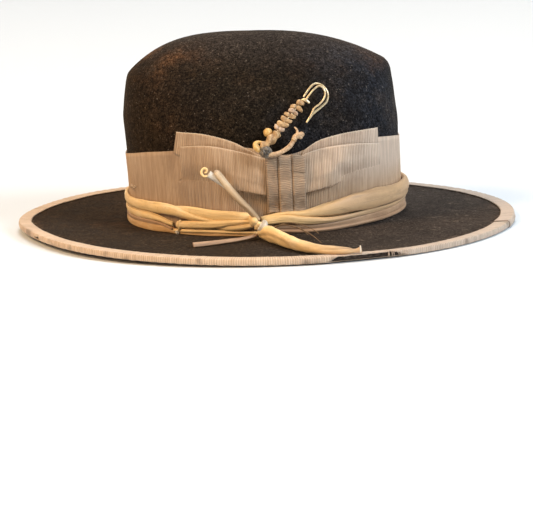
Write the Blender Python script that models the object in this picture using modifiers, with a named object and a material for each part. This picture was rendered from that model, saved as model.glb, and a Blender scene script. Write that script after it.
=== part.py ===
"""A worn, wide-brimmed felt hat with a ribbon bow, wrapped leather ties and a wire-and-bead charm.

Frame: +Z up, -X towards the wearer's face, +X towards the back, -Y the wearer's left (the bow side).
The origin is under the middle of the brim, on the surface that the brim rests on.
Heights called "rise" are measured from the middle of the felt where the brim meets the crown.
"""
from math import acos, cos, hypot, pi, radians, sin

import bmesh
import bpy
from mathutils import Vector

MM = 0.001
GAP = 0.30                      # clearance between pieces that touch

# Driving dimensions, in millimetres
SEGMENTS = 48                   # steps around the head
BRIM_HALF_LENGTH = 188.0        # felt only, front to back
BRIM_HALF_WIDTH = 171.0
FELT = 2.5
FRONT_BASE, BACK_BASE, SIDE_BASE = 101.5, 102.0, 85.0
SHOULDER_RISE = 116.5           # where the side wall turns into the top
DOME_RISE = 24.9                # top of the crown above its shoulder
DOME_CENTER_X = -13.0
DOME_POWER, DOME_POWER_ENDS, DOME_POWER_BACK = 2.05, 0.85, 0.36   # how full the top is: sides, ends, back
CROWN_LEAN = 0.016
DROP_MEAN, DROP_BACK, DROP_FRONT_BACK = 3.575, 1.65, -0.925
NEAR_SIDE_LIFT = 4.2            # the bow side's edge is turned up a little towards the front
FRONT_POINT = 0.28              # how much narrower the brim is close to its front

BINDING_WIDTH = 9.0
BINDING = 0.8
RIBBON = 0.8
BAND_FOOT = 6.5
BAND_FRONT, BAND_BACK, BAND_SIDE_EXTRA = 53.0, 57.5, 13.0

ROLL_THICKNESS = 2.0            # half the thickness of the flattened leather rolls
WRAP_SLACK = 0.4
WRAP_STEPS = 36
WRAP_LEFT_X, WRAP_RIGHT_X = -17.0, 6.0     # the wound leather stops at the knot
KNOT_LEFT_X, KNOT_RIGHT_X = -10.5, -2.0

LEATHER = 1.0
LINING = 0.6
SWEATBAND_TOP = 45.0

# Outer surface of the crown wall: (rise, front reach, back reach, side reach)
WALL = [
    (0.0, FRONT_BASE, BACK_BASE, SIDE_BASE),
    (6.0, FRONT_BASE, BACK_BASE, SIDE_BASE),
    (72.0, 104.6, 102.6, 82.4),
    (80.0, 105.4, 101.8, 81.0),
    (90.0, 104.3, 100.9, 77.4),
    (98.0, 103.3, 100.3, 73.2),
    (104.0, 102.4, 99.5, 69.2),
    (109.0, 101.6, 98.8, 65.0),
    (114.5, 100.2, 97.0, 59.4),
    (SHOULDER_RISE, 98.2, 95.0, 57.2),
]


def interpolate(rise):
    """Front, back and side reach of the wall's outer surface at one rise."""
    rise = min(max(rise, WALL[0][0]), WALL[-1][0])
    for low, high in zip(WALL, WALL[1:]):
        if rise <= high[0]:
            share = (rise - low[0]) / (high[0] - low[0])
            return [a + (b - a) * share for a, b in zip(low[1:], high[1:])]
    return list(WALL[-1][1:])


def lean(point):
    """The crown sits a little back-high on its brim."""
    return (point[0] - CROWN_LEAN * point[2], point[1], point[2] + CROWN_LEAN * point[0])


def wall_point(angle, rise, lift=0.0):
    """A point on the wall, moved out along the oval's normal by lift."""
    front, back, side = interpolate(rise)
    length = back if cos(angle) > 0 else front
    normal_x, normal_y = cos(angle) * side, sin(angle) * length
    scale = lift / hypot(normal_x, normal_y)
    x = length * cos(angle) + normal_x * scale
    return lean((x, side * sin(angle) + normal_y * scale, rise))


def near_point(x, rise, lift):
    """A point over the bow side's wall, given how far front or back it lies."""
    front, back, _ = interpolate(rise)
    length = (back if x > 0 else front) + lift
    share = min(max(x / length, -0.999), 0.999)
    return wall_point(-acos(share), rise, lift)


def dome_point(angle, inset, lift=0.0):
    """A point on the top: inset is 1 at the shoulder and 0 at the highest point."""
    front, back, side = interpolate(SHOULDER_RISE)
    x = ((back if cos(angle) > 0 else front) + min(lift, 0.0)) * cos(angle)
    y = (side + min(lift, 0.0)) * sin(angle)
    power = DOME_POWER + DOME_POWER_ENDS * cos(angle) ** 2 - DOME_POWER_BACK * cos(angle)
    rise = SHOULDER_RISE + DOME_RISE * (1.0 - inset ** power) + lift
    return lean((DOME_CENTER_X + (x - DOME_CENTER_X) * inset, y * inset, rise))


def edge_drop(angle):
    """How far the brim's edge hangs below the crown's base."""
    level = DROP_MEAN + DROP_BACK * cos(angle) + DROP_FRONT_BACK * cos(2 * angle)
    return level - NEAR_SIDE_LIFT * max(0.0, -sin(angle)) ** 2 * (1 - cos(angle)) / 2


def brim_point(angle, reach, lift=0.0):
    """A point on the brim's middle surface: reach is 0 at the crown and 1 at the felt's edge."""
    inner = wall_point(angle, 0.0, -FELT / 2)
    x = inner[0] + (BRIM_HALF_LENGTH * cos(angle) - inner[0]) * reach
    half_width = BRIM_HALF_WIDTH * (1.0 - FRONT_POINT * max(0.0, -cos(angle)) ** 8)
    y = inner[1] + (half_width * sin(angle) - inner[1]) * reach
    foot = inner[2] * max(0.0, 1.0 - reach) ** 3
    return (x, y, lift + foot - edge_drop(angle) * sin(min(reach, 1.0) * pi / 2))


ANGLES = [2 * pi * step / SEGMENTS for step in range(SEGMENTS)]
# The lowest line of the brim's binding stands on the ground.
BASE_Z = max(edge_drop(angle) for angle in ANGLES) + FELT / 2 + GAP + BINDING


def place(point):
    """Rise coordinates in millimetres to a world position in metres."""
    return Vector((point[0] * MM, point[1] * MM, (point[2] + BASE_Z) * MM))


def clear_scene():
    for item in list(bpy.data.objects):
        bpy.data.objects.remove(item, do_unlink=True)


def material(name, color, roughness, metallic=0.0):
    made = bpy.data.materials.new(name)
    made.use_nodes = True
    shader = made.node_tree.nodes["Principled BSDF"]
    shader.inputs["Base Color"].default_value = (*color, 1.0)
    shader.inputs["Roughness"].default_value = roughness
    shader.inputs["Metallic"].default_value = metallic
    return made


def add_object(name, data, finish, collection, parent=None):
    made = bpy.data.objects.new(name, data)
    data.materials.append(finish)
    collection.objects.link(made)
    if parent is not None:
        made.parent = parent
        made.matrix_parent_inverse = parent.matrix_world.inverted()
    return made


def empty(name, point, collection):
    made = bpy.data.objects.new(name, None)
    made.empty_display_size = 0.01
    made.location = place(point)
    made.matrix_world.translation = made.location
    collection.objects.link(made)
    return made


def sheet(name, rows, thickness, finish, collection, around=False, tip=None, parent=None):
    """A skin over rows of points, closed into a solid with Solidify."""
    mesh = bpy.data.meshes.new(name)
    work = bmesh.new()
    grid = [[work.verts.new(place(point)) for point in row] for row in rows]
    for row, above in zip(grid, grid[1:]):
        count = len(row)
        for step in range(count if around else count - 1):
            after = (step + 1) % count
            work.faces.new((row[step], row[after], above[after], above[step]))
    if tip is not None:
        top = work.verts.new(place(tip))
        last = grid[-1]
        for step, vert in enumerate(last):
            work.faces.new((vert, last[(step + 1) % len(last)], top))
    work.to_mesh(mesh)
    work.free()
    mesh.shade_smooth()
    made = add_object(name, mesh, finish, collection, parent)
    solid = made.modifiers.new("Thickness", "SOLIDIFY")
    solid.thickness = thickness * MM
    solid.offset = 0.0
    solid.use_even_offset = True
    return made


def smooth_path(points, steps):
    """Points read from a smooth curve through the given ones."""
    ends = [points[0]] + list(points) + [points[-1]]
    path = []
    for index in range(len(points) - 1):
        a, b, c, d = [Vector(p) for p in ends[index:index + 4]]
        for step in range(steps):
            t = step / steps
            path.append(0.5 * (2 * b + (c - a) * t + (2 * a - 5 * b + 4 * c - d) * t ** 2
                               + (3 * b - a - 3 * c + d) * t ** 3))
    path.append(Vector(points[-1]))
    return path


def tube(name, points, radii, finish, collection, closed=False, parent=None):
    """A round cord, roll or wire along a path of points, in rise coordinates."""
    curve = bpy.data.curves.new(name, "CURVE")
    curve.dimensions = "3D"
    curve.bevel_depth = 1.0
    curve.bevel_resolution = 1 if closed else 2
    curve.use_fill_caps = True
    line = curve.splines.new("POLY")
    line.points.add(len(points) - 1)
    for index, (spot, point) in enumerate(zip(line.points, points)):
        spot.co = (*place(point), 1.0)
        spot.radius = (radii[index] if isinstance(radii, list) else radii) * MM
    line.use_cyclic_u = closed
    return add_object(name, curve, finish, collection, parent)


def blend_list(values, count):
    """Stretch a few values over a longer run, in even steps."""
    result = []
    for index in range(count):
        spot = index / (count - 1) * (len(values) - 1)
        low = min(int(spot), len(values) - 2)
        result.append(values[low] + (values[low + 1] - values[low]) * (spot - low))
    return result


def ball(name, center, radii, finish, collection, parent=None):
    mesh = bpy.data.meshes.new(name)
    work = bmesh.new()
    bmesh.ops.create_uvsphere(work, u_segments=12, v_segments=8, radius=1.0)
    middle = place(center)
    for vert in work.verts:
        vert.co = middle + Vector([vert.co[axis] * radii[axis] * MM for axis in range(3)])
    work.to_mesh(mesh)
    work.free()
    mesh.shade_smooth()
    return add_object(name, mesh, finish, collection, parent)


def ring_bead(name, center, along, hole, outer, width, finish, collection, parent=None):
    """A bead turned round a hole: an oval profile swept about the wire's direction."""
    mesh = bpy.data.meshes.new(name)
    work = bmesh.new()
    turn = Vector(along).to_track_quat("Z", "Y")
    middle_r, half = (hole + outer) / 2, (outer - hole) / 2
    steps, sides = 10, 6
    grid = []
    for step in range(steps):
        angle = 2 * pi * step / steps
        row = []
        for side in range(sides):
            section = 2 * pi * side / sides
            radius = middle_r + half * cos(section)
            spot = Vector((radius * cos(angle), radius * sin(angle), width / 2 * sin(section)))
            row.append(work.verts.new(place(center) + turn @ spot * MM))
        grid.append(row)
    for step in range(steps):
        after = grid[(step + 1) % steps]
        for side in range(sides):
            other = (side + 1) % sides
            work.faces.new((grid[step][side], after[side], after[other], grid[step][other]))
    work.to_mesh(mesh)
    work.free()
    mesh.shade_smooth()
    return add_object(name, mesh, finish, collection, parent)


def make_felt(felt, collection):
    """Crown and brim are one blocked piece of felt."""
    middle = -FELT / 2
    inner_edge = 1.0 - BINDING_WIDTH / (BRIM_HALF_WIDTH - SIDE_BASE)
    rows = [[brim_point(a, reach) for a in ANGLES] for reach in (1.0, inner_edge, 0.68, 0.42, 0.2, 0.07)]
    rows.append([wall_point(a, 1.6, middle + 0.7) for a in ANGLES])
    rows += [[wall_point(a, rise, middle) for a in ANGLES] for rise in (6.0, 40.0)]
    rows += [[wall_point(a, level[0], middle) for a in ANGLES] for level in WALL[2:]]
    rows += [[dome_point(a, inset, middle) for a in ANGLES] for inset in (0.93, 0.8, 0.6, 0.32)]
    tip = dome_point(0.0, 0.0, middle)
    sheet("felt_body", rows, FELT, felt, collection, around=True, tip=tip)


def make_binding(ribbon, collection):
    """Ribbon folded over the brim's edge, open towards the crown."""
    leg = FELT / 2 + GAP + BINDING / 2
    inner = 1.0 - (BINDING_WIDTH - 0.5) / (BRIM_HALF_WIDTH - SIDE_BASE)
    unit = 1.0 / (BRIM_HALF_WIDTH - SIDE_BASE)
    outline = [(inner, leg), (1.0 + 0.2 * unit, leg), (1.0 + 0.75 * unit, leg * 0.5),
               (1.0 + 0.75 * unit, -leg * 0.5), (1.0 + 0.2 * unit, -leg), (inner, -leg)]
    rows = [[brim_point(a, reach, lift) for a in ANGLES] for reach, lift in outline]
    sheet("brim_binding", rows, BINDING, ribbon, collection, around=True)


def band_top(angle):
    share = (1 + cos(angle)) / 2
    near = max(0.0, -sin(angle)) + 0.5 * max(0.0, sin(angle))
    return BAND_FRONT + (BAND_BACK - BAND_FRONT) * share + BAND_SIDE_EXTRA * near


def make_band(ribbon, collection):
    lift = GAP + RIBBON / 2
    rows = [[wall_point(a, BAND_FOOT, lift) for a in ANGLES]]
    rows.append([wall_point(a, band_top(a), lift) for a in ANGLES])
    sheet("hat_band", rows, RIBBON, ribbon, collection, around=True)


def patch(name, left, right, lift, columns, finish, collection, parent=None):
    """A strip of ribbon over the near side: left and right are (x, foot, top)."""
    rows = []
    for share in (0.0, 0.5, 1.0):
        row = []
        for step in range(columns + 1):
            across = step / columns
            x = left[0] + (right[0] - left[0]) * across
            foot = left[1] + (right[1] - left[1]) * across
            top = left[2] + (right[2] - left[2]) * across
            row.append(near_point(x, foot + (top - foot) * share, lift(across)))
        rows.append(row)
    return sheet(name, rows, RIBBON, finish, collection, parent=parent)


def bow_loop(name, outer_x, center_x, foots, tops, ribbon, collection):
    """A loop of ribbon: out along the band, round its end and back over itself."""
    flat, high = 3.4, 7.0
    plies = [(center_x, flat)]
    plies += [(center_x + (outer_x - center_x) * share, flat) for share in (0.35, 0.7, 0.97)]
    plies += [(outer_x, (flat + high) / 2)]
    plies += [(center_x + (outer_x - center_x) * share, high) for share in (0.97, 0.7, 0.4)]
    plies += [(center_x, flat + 1.5)]
    rows = []
    for share in (0.0, 0.5, 1.0):
        row = []
        for x, lift in plies:
            spread = (x - center_x) / (outer_x - center_x)
            foot = foots[0] + (foots[1] - foots[0]) * spread
            top = tops[0] + (tops[1] - tops[0]) * spread
            row.append(near_point(x, foot + (top - foot) * share, lift))
        rows.append(row)
    sheet(name, rows, RIBBON, ribbon, collection)


def make_bow(ribbon, collection):
    under = 2 * GAP + RIBBON * 1.5
    patch("bow_flap_left", (-66.0, 60.0, 77.5), (8.0, 36.0, 63.5), lambda _: under, 8, ribbon, collection)
    patch("bow_flap_right", (86.0, 58.0, 71.5), (22.0, 36.0, 63.5), lambda _: under, 8, ribbon, collection)
    bow_loop("bow_loop_left", -62.0, 8.0, (32.5, 35.5), (61.8, 66.4), ribbon, collection)
    bow_loop("bow_loop_right", 88.0, 22.0, (32.5, 38.5), (61.5, 59.6), ribbon, collection)
    pleat = (0.0, 1.2, 0.3, 1.4, 0.4, 1.4, 0.2)
    patch("bow_center_wrap", (0.5, 25.5, 63.8), (30.5, 26.5, 59.6),
          lambda across: 9.0 + pleat[round(across * 6)], 6, ribbon, collection)


def wound_strap(name, half_height, half_thickness, rise, lift, finish, collection):
    """Leather wound once round the crown, from one side of the knot to the other.

    Its section is an oval, taller than it is thick, swept along the wall.
    """
    start, end = -acos(WRAP_RIGHT_X / 100.0), 2 * pi - acos(WRAP_LEFT_X / 100.0)
    sides = 8
    mesh = bpy.data.meshes.new(name)
    work = bmesh.new()
    grid = []
    for step in range(WRAP_STEPS + 1):
        angle = start + (end - start) * step / WRAP_STEPS
        row = []
        for side in range(sides):
            turn = 2 * pi * side / sides
            spot = wall_point(angle, rise(angle) + half_height * sin(turn), lift + half_thickness * cos(turn))
            row.append(work.verts.new(place(spot)))
        grid.append(row)
    for row, after in zip(grid, grid[1:]):
        for side in range(sides):
            other = (side + 1) % sides
            work.faces.new((row[side], after[side], after[other], row[other]))
    work.faces.new(grid[0])
    work.faces.new(grid[-1][::-1])
    work.to_mesh(mesh)
    work.free()
    mesh.shade_smooth()
    return add_object(name, mesh, finish, collection)


def make_ties(leather, collection):
    """Soft leather thongs wound over the foot of the ribbon, flattened where they lie."""
    roll_lift = GAP * 2 + RIBBON + WRAP_SLACK + ROLL_THICKNESS
    over_rolls = roll_lift + ROLL_THICKNESS + GAP
    wound_strap("tie_lower_roll", 4.8, ROLL_THICKNESS, lambda a: 7.6, roll_lift, leather, collection)
    wound_strap("tie_upper_roll", 5.0, ROLL_THICKNESS, lambda a: 18.2 + 3.0 * abs(cos(a)),
                roll_lift, leather, collection)
    wound_strap("tie_middle_strand", 2.0, 1.6, lambda a: 12.6, over_rolls + 1.2, leather, collection)
    wound_strap("tie_second_strand", 1.9, 1.5, lambda a: 18.4, over_rolls + 1.7, leather, collection)
    wound_strap("tie_thin_strand", 1.5, 1.2, lambda a: 3.2, over_rolls + 0.8, leather, collection)


def make_knot(leather, collection):
    out = SIDE_BASE + 8.0
    ball("tie_knot_left_lobe", (KNOT_LEFT_X, -out, 15.0), (4.6, 5.0, 6.2), leather, collection)
    ball("tie_knot_right_lobe", (KNOT_RIGHT_X, -out, 10.0), (3.4, 5.5, 7.5), leather, collection)
    upper = smooth_path([(-14.0, -99.4, 25.0), (-26.5, -99.4, 37.0), (-38.0, -95.0, 52.5)], 4)
    tube("tie_tail_upper", upper, blend_list([2.2, 2.3, 2.4], len(upper)), leather, collection)
    second = smooth_path([(-24.5, -104.0, 31.5), (-34.0, -102.5, 40.5), (-43.0, -97.5, 50.0)], 4)
    tube("tie_tail_upper_second", second, 1.9, leather, collection)


LOWER_TAIL_PIVOT = (-0.5, -99.0, 9.5)
STRIP_TAIL_PIVOT = (-8.0, -98.6, 6.0)
CHARM_FOOT = 65.7
CHARM_TIP = 0.22                # how far it leans towards the crown for each unit of height
CHARM_PIVOT = (0.8, -97.2, CHARM_FOOT)


def make_lower_tail(leather, collection):
    pivot = empty("tail_pivot", LOWER_TAIL_PIVOT, collection)
    path = smooth_path([(0.8, -104.2, 9.6), (12.7, -123.5, 7.2), (25.6, -140.5, 5.0), (41.5, -150.5, 3.2),
                        (57.5, -156.5, 2.4), (68.0, -157.0, 2.6)], 3)
    tube("tie_tail_lower", path, blend_list([5.0, 5.6, 5.0, 4.2, 3.4, 2.8], len(path)), leather, collection,
         parent=pivot)


def make_strip_tail(leather, collection):
    pivot = empty("strip_pivot", STRIP_TAIL_PIVOT, collection)
    path = smooth_path([(-9.5, -101.0, 5.6), (-32.0, -107.5, 2.4), (-58.0, -114.5, 1.4)], 4)
    half = blend_list([0.9, 1.5, 2.2], len(path))
    rows = [[(p.x, p.y - h, p.z) for p, h in zip(path, half)], [(p.x, p.y + h, p.z) for p, h in zip(path, half)]]
    sheet("strip_tail", rows, LEATHER, leather, collection, parent=pivot)


def tipped(points):
    """The charm's points, tipped back so that it lies along the rounding crown."""
    return [Vector((x, y + CHARM_TIP * (z - CHARM_FOOT), z - 0.2 * CHARM_TIP * (z - CHARM_FOOT)))
            for x, y, z in points]


def make_charm(bead, wire, thread, leather, twig, collection):
    """Bent wire hook, strung with small beads, tied on at the bow's middle."""
    pivot = empty("charm_pivot", CHARM_PIVOT, collection)
    first, last = tipped([(10.6, -95.0, 83.2), (31.0, -88.2, 104.0)])
    along = (last - first).normalized()
    wire_radius = 0.6
    core = [first - along * 6.0, first, (first + last) / 2, last, last + along * 3.2]
    tube("charm_core_wire", core, wire_radius, wire, collection, parent=pivot)
    beads = 7
    for index in range(beads):
        center = first + (last - first) * index / (beads - 1)
        ring_bead(f"charm_bead_{index + 1}", center, along, wire_radius + GAP, 2.9 - 0.06 * index, 4.2,
                  bead, collection, parent=pivot)
    ball("charm_thread_knot", (0.8, -98.0, 65.7), (4.4, 3.4, 4.2), thread, collection, parent=pivot)
    winding, round_bead = tipped([(4.2, -96.5, 73.8), (2.4, -92.6, 81.2)])
    ball("charm_base_winding", winding, (3.6, 3.0, 3.4), bead, collection, parent=pivot)
    ball("charm_round_bead", round_bead, (3.6, 3.6, 3.6), bead, collection, parent=pivot)
    loop = [(-5.5 + 2.8 * cos(a), -97.5, 70.5 + 4.2 * sin(a) + 1.4 * cos(a))
            for a in [2 * pi * step / 12 for step in range(12)]]
    tube("charm_leather_loop", tipped(loop), 0.9, leather, collection, closed=True, parent=pivot)
    outer = smooth_path([(35.8, -86.4, 108.6), (39.8, -86.0, 114.4), (43.4, -85.6, 116.2), (47.4, -85.2, 114.2),
                         (51.0, -85.0, 108.6), (49.8, -85.0, 102.4), (44.2, -85.6, 97.0),
                         (38.6, -86.4, 92.6), (34.6, -87.0, 86.4)], 3)
    tube("charm_hook_outer", tipped(outer), 0.75, wire, collection, parent=pivot)
    inner = smooth_path([(36.6, -89.6, 105.4), (40.8, -89.2, 111.4), (45.0, -88.8, 113.6), (48.2, -88.6, 109.4),
                         (47.0, -88.8, 103.8), (42.4, -89.4, 98.6), (38.4, -90.0, 94.4)], 3)
    tube("charm_hook_inner", tipped(inner), 0.7, wire, collection, parent=pivot)
    stick = smooth_path([(6.6, -98.4, 65.6), (12.5, -97.0, 68.4), (21.0, -95.0, 73.6), (27.6, -93.6, 78.0)], 3)
    tube("charm_twig", tipped(stick), blend_list([1.2, 1.3, 1.5, 2.2], len(stick)), twig, collection, parent=pivot)
    fork = smooth_path([(27.2, -93.2, 81.0), (25.4, -92.6, 83.4), (24.2, -92.2, 85.6)], 2)
    tube("charm_twig_fork", tipped(fork), 0.8, twig, collection, parent=pivot)


def make_inside(leather, satin, cord, collection):
    """Sweatband, its reed and rear tab, and the lining."""
    skin = -(FELT + GAP + LEATHER / 2)
    rows = [[wall_point(a, rise, skin) for a in ANGLES] for rise in (2.6, 6.0, SWEATBAND_TOP)]
    sheet("sweatband", rows, LEATHER, leather, collection, around=True)
    reed = [wall_point(a, 1.0, skin - 0.2) for a in ANGLES]
    tube("sweatband_reed", reed, 0.8, cord, collection, closed=True)
    tab_lift = skin - LEATHER / 2 - GAP - RIBBON / 2
    tab = [[wall_point(radians(spread), rise, tab_lift) for spread in (-7.5, 0.0, 7.5)] for rise in (8.0, 16.0)]
    sheet("sweatband_seam_tab", tab, RIBBON, cord, collection)
    cloth = -(FELT + GAP + LINING / 2)
    side = ((SWEATBAND_TOP + 1.5, 0.0), (72.0, 0.0), (80.0, 0.1), (90.0, 0.6), (97.5, 0.9))
    rows = [[wall_point(a, rise, cloth - slack) for a in ANGLES] for rise, slack in side]
    sheet("lining_side", rows, LINING, satin, collection, around=True)
    depth = -(FELT + GAP + 1.0)
    rows = [[wall_point(a, rise, cloth - slack) for a in ANGLES] for rise, slack in ((101.0, 2.0), (109.5, 3.4))]
    rows += [[dome_point(a, inset, depth) for a in ANGLES] for inset in (0.94, 0.8, 0.6, 0.32)]
    tip = dome_point(0.0, 0.0, depth)
    sheet("lining_tip", rows, LINING, satin, collection, around=True, tip=tip)


def build():
    clear_scene()
    collection = bpy.data.collections.new("felt_hat")
    bpy.context.scene.collection.children.link(collection)
    felt = material("felt", (0.020, 0.016, 0.013), 0.95)
    ribbon = material("ribbon", (0.56, 0.40, 0.25), 0.75)
    binding = material("binding", (0.66, 0.48, 0.32), 0.75)
    leather = material("tie_leather", (0.72, 0.53, 0.30), 0.6)
    strip = material("strip_leather", (0.52, 0.34, 0.22), 0.65)
    bead = material("bead", (0.58, 0.42, 0.22), 0.5)
    wire = material("wire", (0.80, 0.66, 0.42), 0.3, 1.0)
    thread = material("thread", (0.11, 0.10, 0.09), 0.8)
    twig = material("twig", (0.50, 0.36, 0.20), 0.65)
    sweat = material("sweatband_leather", (0.28, 0.15, 0.07), 0.5)
    satin = material("lining_satin", (0.34, 0.27, 0.18), 0.45)
    cord = material("reed_cord", (0.10, 0.07, 0.05), 0.6)
    make_felt(felt, collection)
    make_binding(binding, collection)
    make_band(ribbon, collection)
    make_bow(ribbon, collection)
    make_ties(leather, collection)
    make_knot(leather, collection)
    make_lower_tail(leather, collection)
    make_strip_tail(strip, collection)
    make_charm(bead, wire, thread, leather, twig, collection)
    make_inside(sweat, satin, cord, collection)


build()
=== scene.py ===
import random
from math import acos, cos, exp, hypot, pi, radians, sin, sqrt

import bpy
from mathutils import Matrix, Vector, noise


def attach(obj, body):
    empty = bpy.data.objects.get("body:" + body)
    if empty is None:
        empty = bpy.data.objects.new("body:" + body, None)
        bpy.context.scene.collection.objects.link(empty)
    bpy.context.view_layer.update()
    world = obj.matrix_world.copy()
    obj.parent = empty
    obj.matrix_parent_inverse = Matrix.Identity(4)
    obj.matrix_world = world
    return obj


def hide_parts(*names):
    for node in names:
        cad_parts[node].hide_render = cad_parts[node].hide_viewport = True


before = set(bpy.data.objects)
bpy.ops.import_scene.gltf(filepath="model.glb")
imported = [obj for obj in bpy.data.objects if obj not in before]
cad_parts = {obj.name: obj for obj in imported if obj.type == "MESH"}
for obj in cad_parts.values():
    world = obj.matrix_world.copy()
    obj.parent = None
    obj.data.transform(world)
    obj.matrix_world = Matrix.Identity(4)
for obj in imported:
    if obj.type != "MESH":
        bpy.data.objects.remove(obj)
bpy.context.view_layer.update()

MM = 0.001

# ---------------------------------------------------------------- the hat's own shape, as in the frame
# Millimetres. "rise" is a height above the middle of the felt where brim and crown meet,
# "lift" a distance out from the crown's outer surface, "reach" runs over the brim from 0 to 1.
# A "run" is a length along or across a piece's own stuff, from an angle times a radius.
FELT = 2.5
FRONT_BASE, BACK_BASE, SIDE_BASE = 101.5, 102.0, 85.0
SHOULDER_RISE = 116.5
WALL_TURNS_IN = 104.0
DOME_RISE = 24.9
DOME_CENTER_X = -13.0
DOME_POWER, DOME_POWER_ENDS, DOME_POWER_BACK = 2.05, 0.85, 0.36
CROWN_LEAN = 0.016
DROP_MEAN, DROP_BACK, DROP_FRONT_BACK = 3.575, 1.65, -0.925
NEAR_SIDE_LIFT = 1.4
FRONT_POINT = 0.28
BINDING, BINDING_GAP = 0.8, 0.3
WALL = [
    (0.0, FRONT_BASE, BACK_BASE, SIDE_BASE),
    (36.0, 103.0, 102.3, 83.9),
    (72.0, 104.8, 102.5, 82.4),
    (82.0, 105.2, 101.7, 80.4),
    (90.0, 104.3, 101.0, 77.4),
    (98.0, 103.3, 100.3, 73.2),
    (104.0, 102.4, 99.5, 69.2),
    (109.0, 101.6, 98.7, 65.0),
    (113.6, 100.4, 97.3, 60.4),
    (SHOULDER_RISE, 98.2, 95.0, 57.2),
]
BRIM_HALF_LENGTH = 188.0
BRIM_HALF_WIDTH = 171.0
RIB_PITCH = 1.25
EDGE_RADIUS, CROWN_RADIUS, BAND_RADIUS, INNER_RADIUS = 180.0, 100.0, 94.0, 95.0
# How the bow side looks from a few metres away: a little smaller than it is, and seen from above.
NEAR_SHRINK, NEAR_HALF_LENGTH, LIFT_SPREAD = 0.976, 103.0, 0.81
RISE_SHRINK, RISE_DROP = 0.025, 1.15


def curve_at(table, key):
    """Smooth reading of a table: rows are (key, value, ...), in rising order of key."""
    key = min(max(key, table[0][0]), table[-1][0])
    last = len(table) - 2
    spot = 0
    while spot < last and key > table[spot + 1][0]:
        spot += 1
    before, low, high, after = (table[max(spot - 1, 0)], table[spot], table[spot + 1],
                                table[min(spot + 2, last + 1)])
    span = high[0] - low[0]
    t = (key - low[0]) / span
    values = []
    for b, l, h, a in zip(before[1:], low[1:], high[1:], after[1:]):
        slope_low = (h - b) / max(high[0] - before[0], 1e-9) * span
        slope_high = (a - l) / max(after[0] - low[0], 1e-9) * span
        values.append((2 * t ** 3 - 3 * t ** 2 + 1) * l + (t ** 3 - 2 * t ** 2 + t) * slope_low
                      + (3 * t ** 2 - 2 * t ** 3) * h + (t ** 3 - t ** 2) * slope_high)
    return values


def limited(value):
    return min(1.0, max(0.0, value))


def soft(low, high, value):
    """0 below low, 1 above high, smooth between."""
    t = limited((value - low) / (high - low))
    return t * t * (3 - 2 * t)


def rough(x, y, z=0.0, seed=0.0):
    """Smooth noise from about -1 to 1."""
    return noise.noise(Vector((x + seed * 17.3, y - seed * 9.1, z + seed * 5.7)))


def ring_noise(angle, scale, z=0.0, seed=0.0):
    """The same noise, read round a circle, so that it closes on itself."""
    return rough(scale * cos(angle), scale * sin(angle), z, seed)


def bell(value, middle, width):
    """1 at the middle, falling off to both sides."""
    return exp(-((value - middle) / width) ** 2)


def bow_side(angle):
    """1 at the middle of the bow's side, 0 on the far side."""
    return max(0.0, -sin(angle))


def lean(x, y, z):
    """The crown stands a little tilted, end to end."""
    return (x - CROWN_LEAN * z, y, z + CROWN_LEAN * x)


def wall_point(angle, rise, lift=0.0):
    front, back, side = curve_at(WALL, rise)
    length = back if cos(angle) > 0 else front
    normal_x, normal_y = cos(angle) * side, sin(angle) * length
    scale = lift / hypot(normal_x, normal_y)
    return lean(length * cos(angle) + normal_x * scale, side * sin(angle) + normal_y * scale, rise)


def near_angle(x, lift=0.0):
    """The angle of a place on the bow side.

    Places on that side are given as they look square on from a few metres away, against a
    ruler held at the hat's middle; near_angle and settle bring them onto the wall itself.
    """
    x *= NEAR_SHRINK
    share = x / NEAR_HALF_LENGTH
    for _ in range(3):
        share = min(max((x - LIFT_SPREAD * share * lift) / NEAR_HALF_LENGTH, -0.999), 0.999)
    return -acos(share)


def on_left(x):
    """The same place, its angle counted on from the back round the far side."""
    return near_angle(x) + 2 * pi


def settle(rise, angle):
    """A height as it looks on the bow side, brought to the height it has on the wall."""
    near = bow_side(angle)
    return rise * (1.0 - RISE_SHRINK * near) - RISE_DROP * near


def near_point(x, rise, lift):
    angle = near_angle(x, lift)
    return wall_point(angle, settle(rise, angle), lift)


def dome_point(angle, inset, lift=0.0):
    """A place on the crown's top; inset is 1 at the shoulder and 0 in the middle."""
    _, back, side = curve_at(WALL, SHOULDER_RISE)
    front = WALL[-1][1]
    x = ((back if cos(angle) > 0 else front) + min(lift, 0.0)) * cos(angle)
    y = (side + min(lift, 0.0)) * sin(angle)
    power = DOME_POWER + DOME_POWER_ENDS * cos(angle) ** 2 - DOME_POWER_BACK * cos(angle)
    rise = SHOULDER_RISE + DOME_RISE * (1.0 - inset ** power) + lift
    return lean(DOME_CENTER_X + (x - DOME_CENTER_X) * inset, y * inset, rise)


def edge_drop(angle):
    """How far the brim's edge hangs below its root."""
    level = DROP_MEAN + DROP_BACK * cos(angle) + DROP_FRONT_BACK * cos(2 * angle)
    return level - NEAR_SIDE_LIFT * bow_side(angle) ** 2 * (1 - cos(angle)) / 2


BASE_Z = max(edge_drop(2 * pi * step / 48) for step in range(48)) + FELT / 2 + BINDING_GAP + BINDING


def brim_wave(angle, reach):
    """Years of handling: the brim ripples by a fraction of a millimetre."""
    wave = 0.55 * ring_noise(angle, 2.2, 0.0, 3) + 0.25 * sin(5 * angle + 0.7)
    return reach ** 2 * (wave + 0.35) * 1.1


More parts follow.
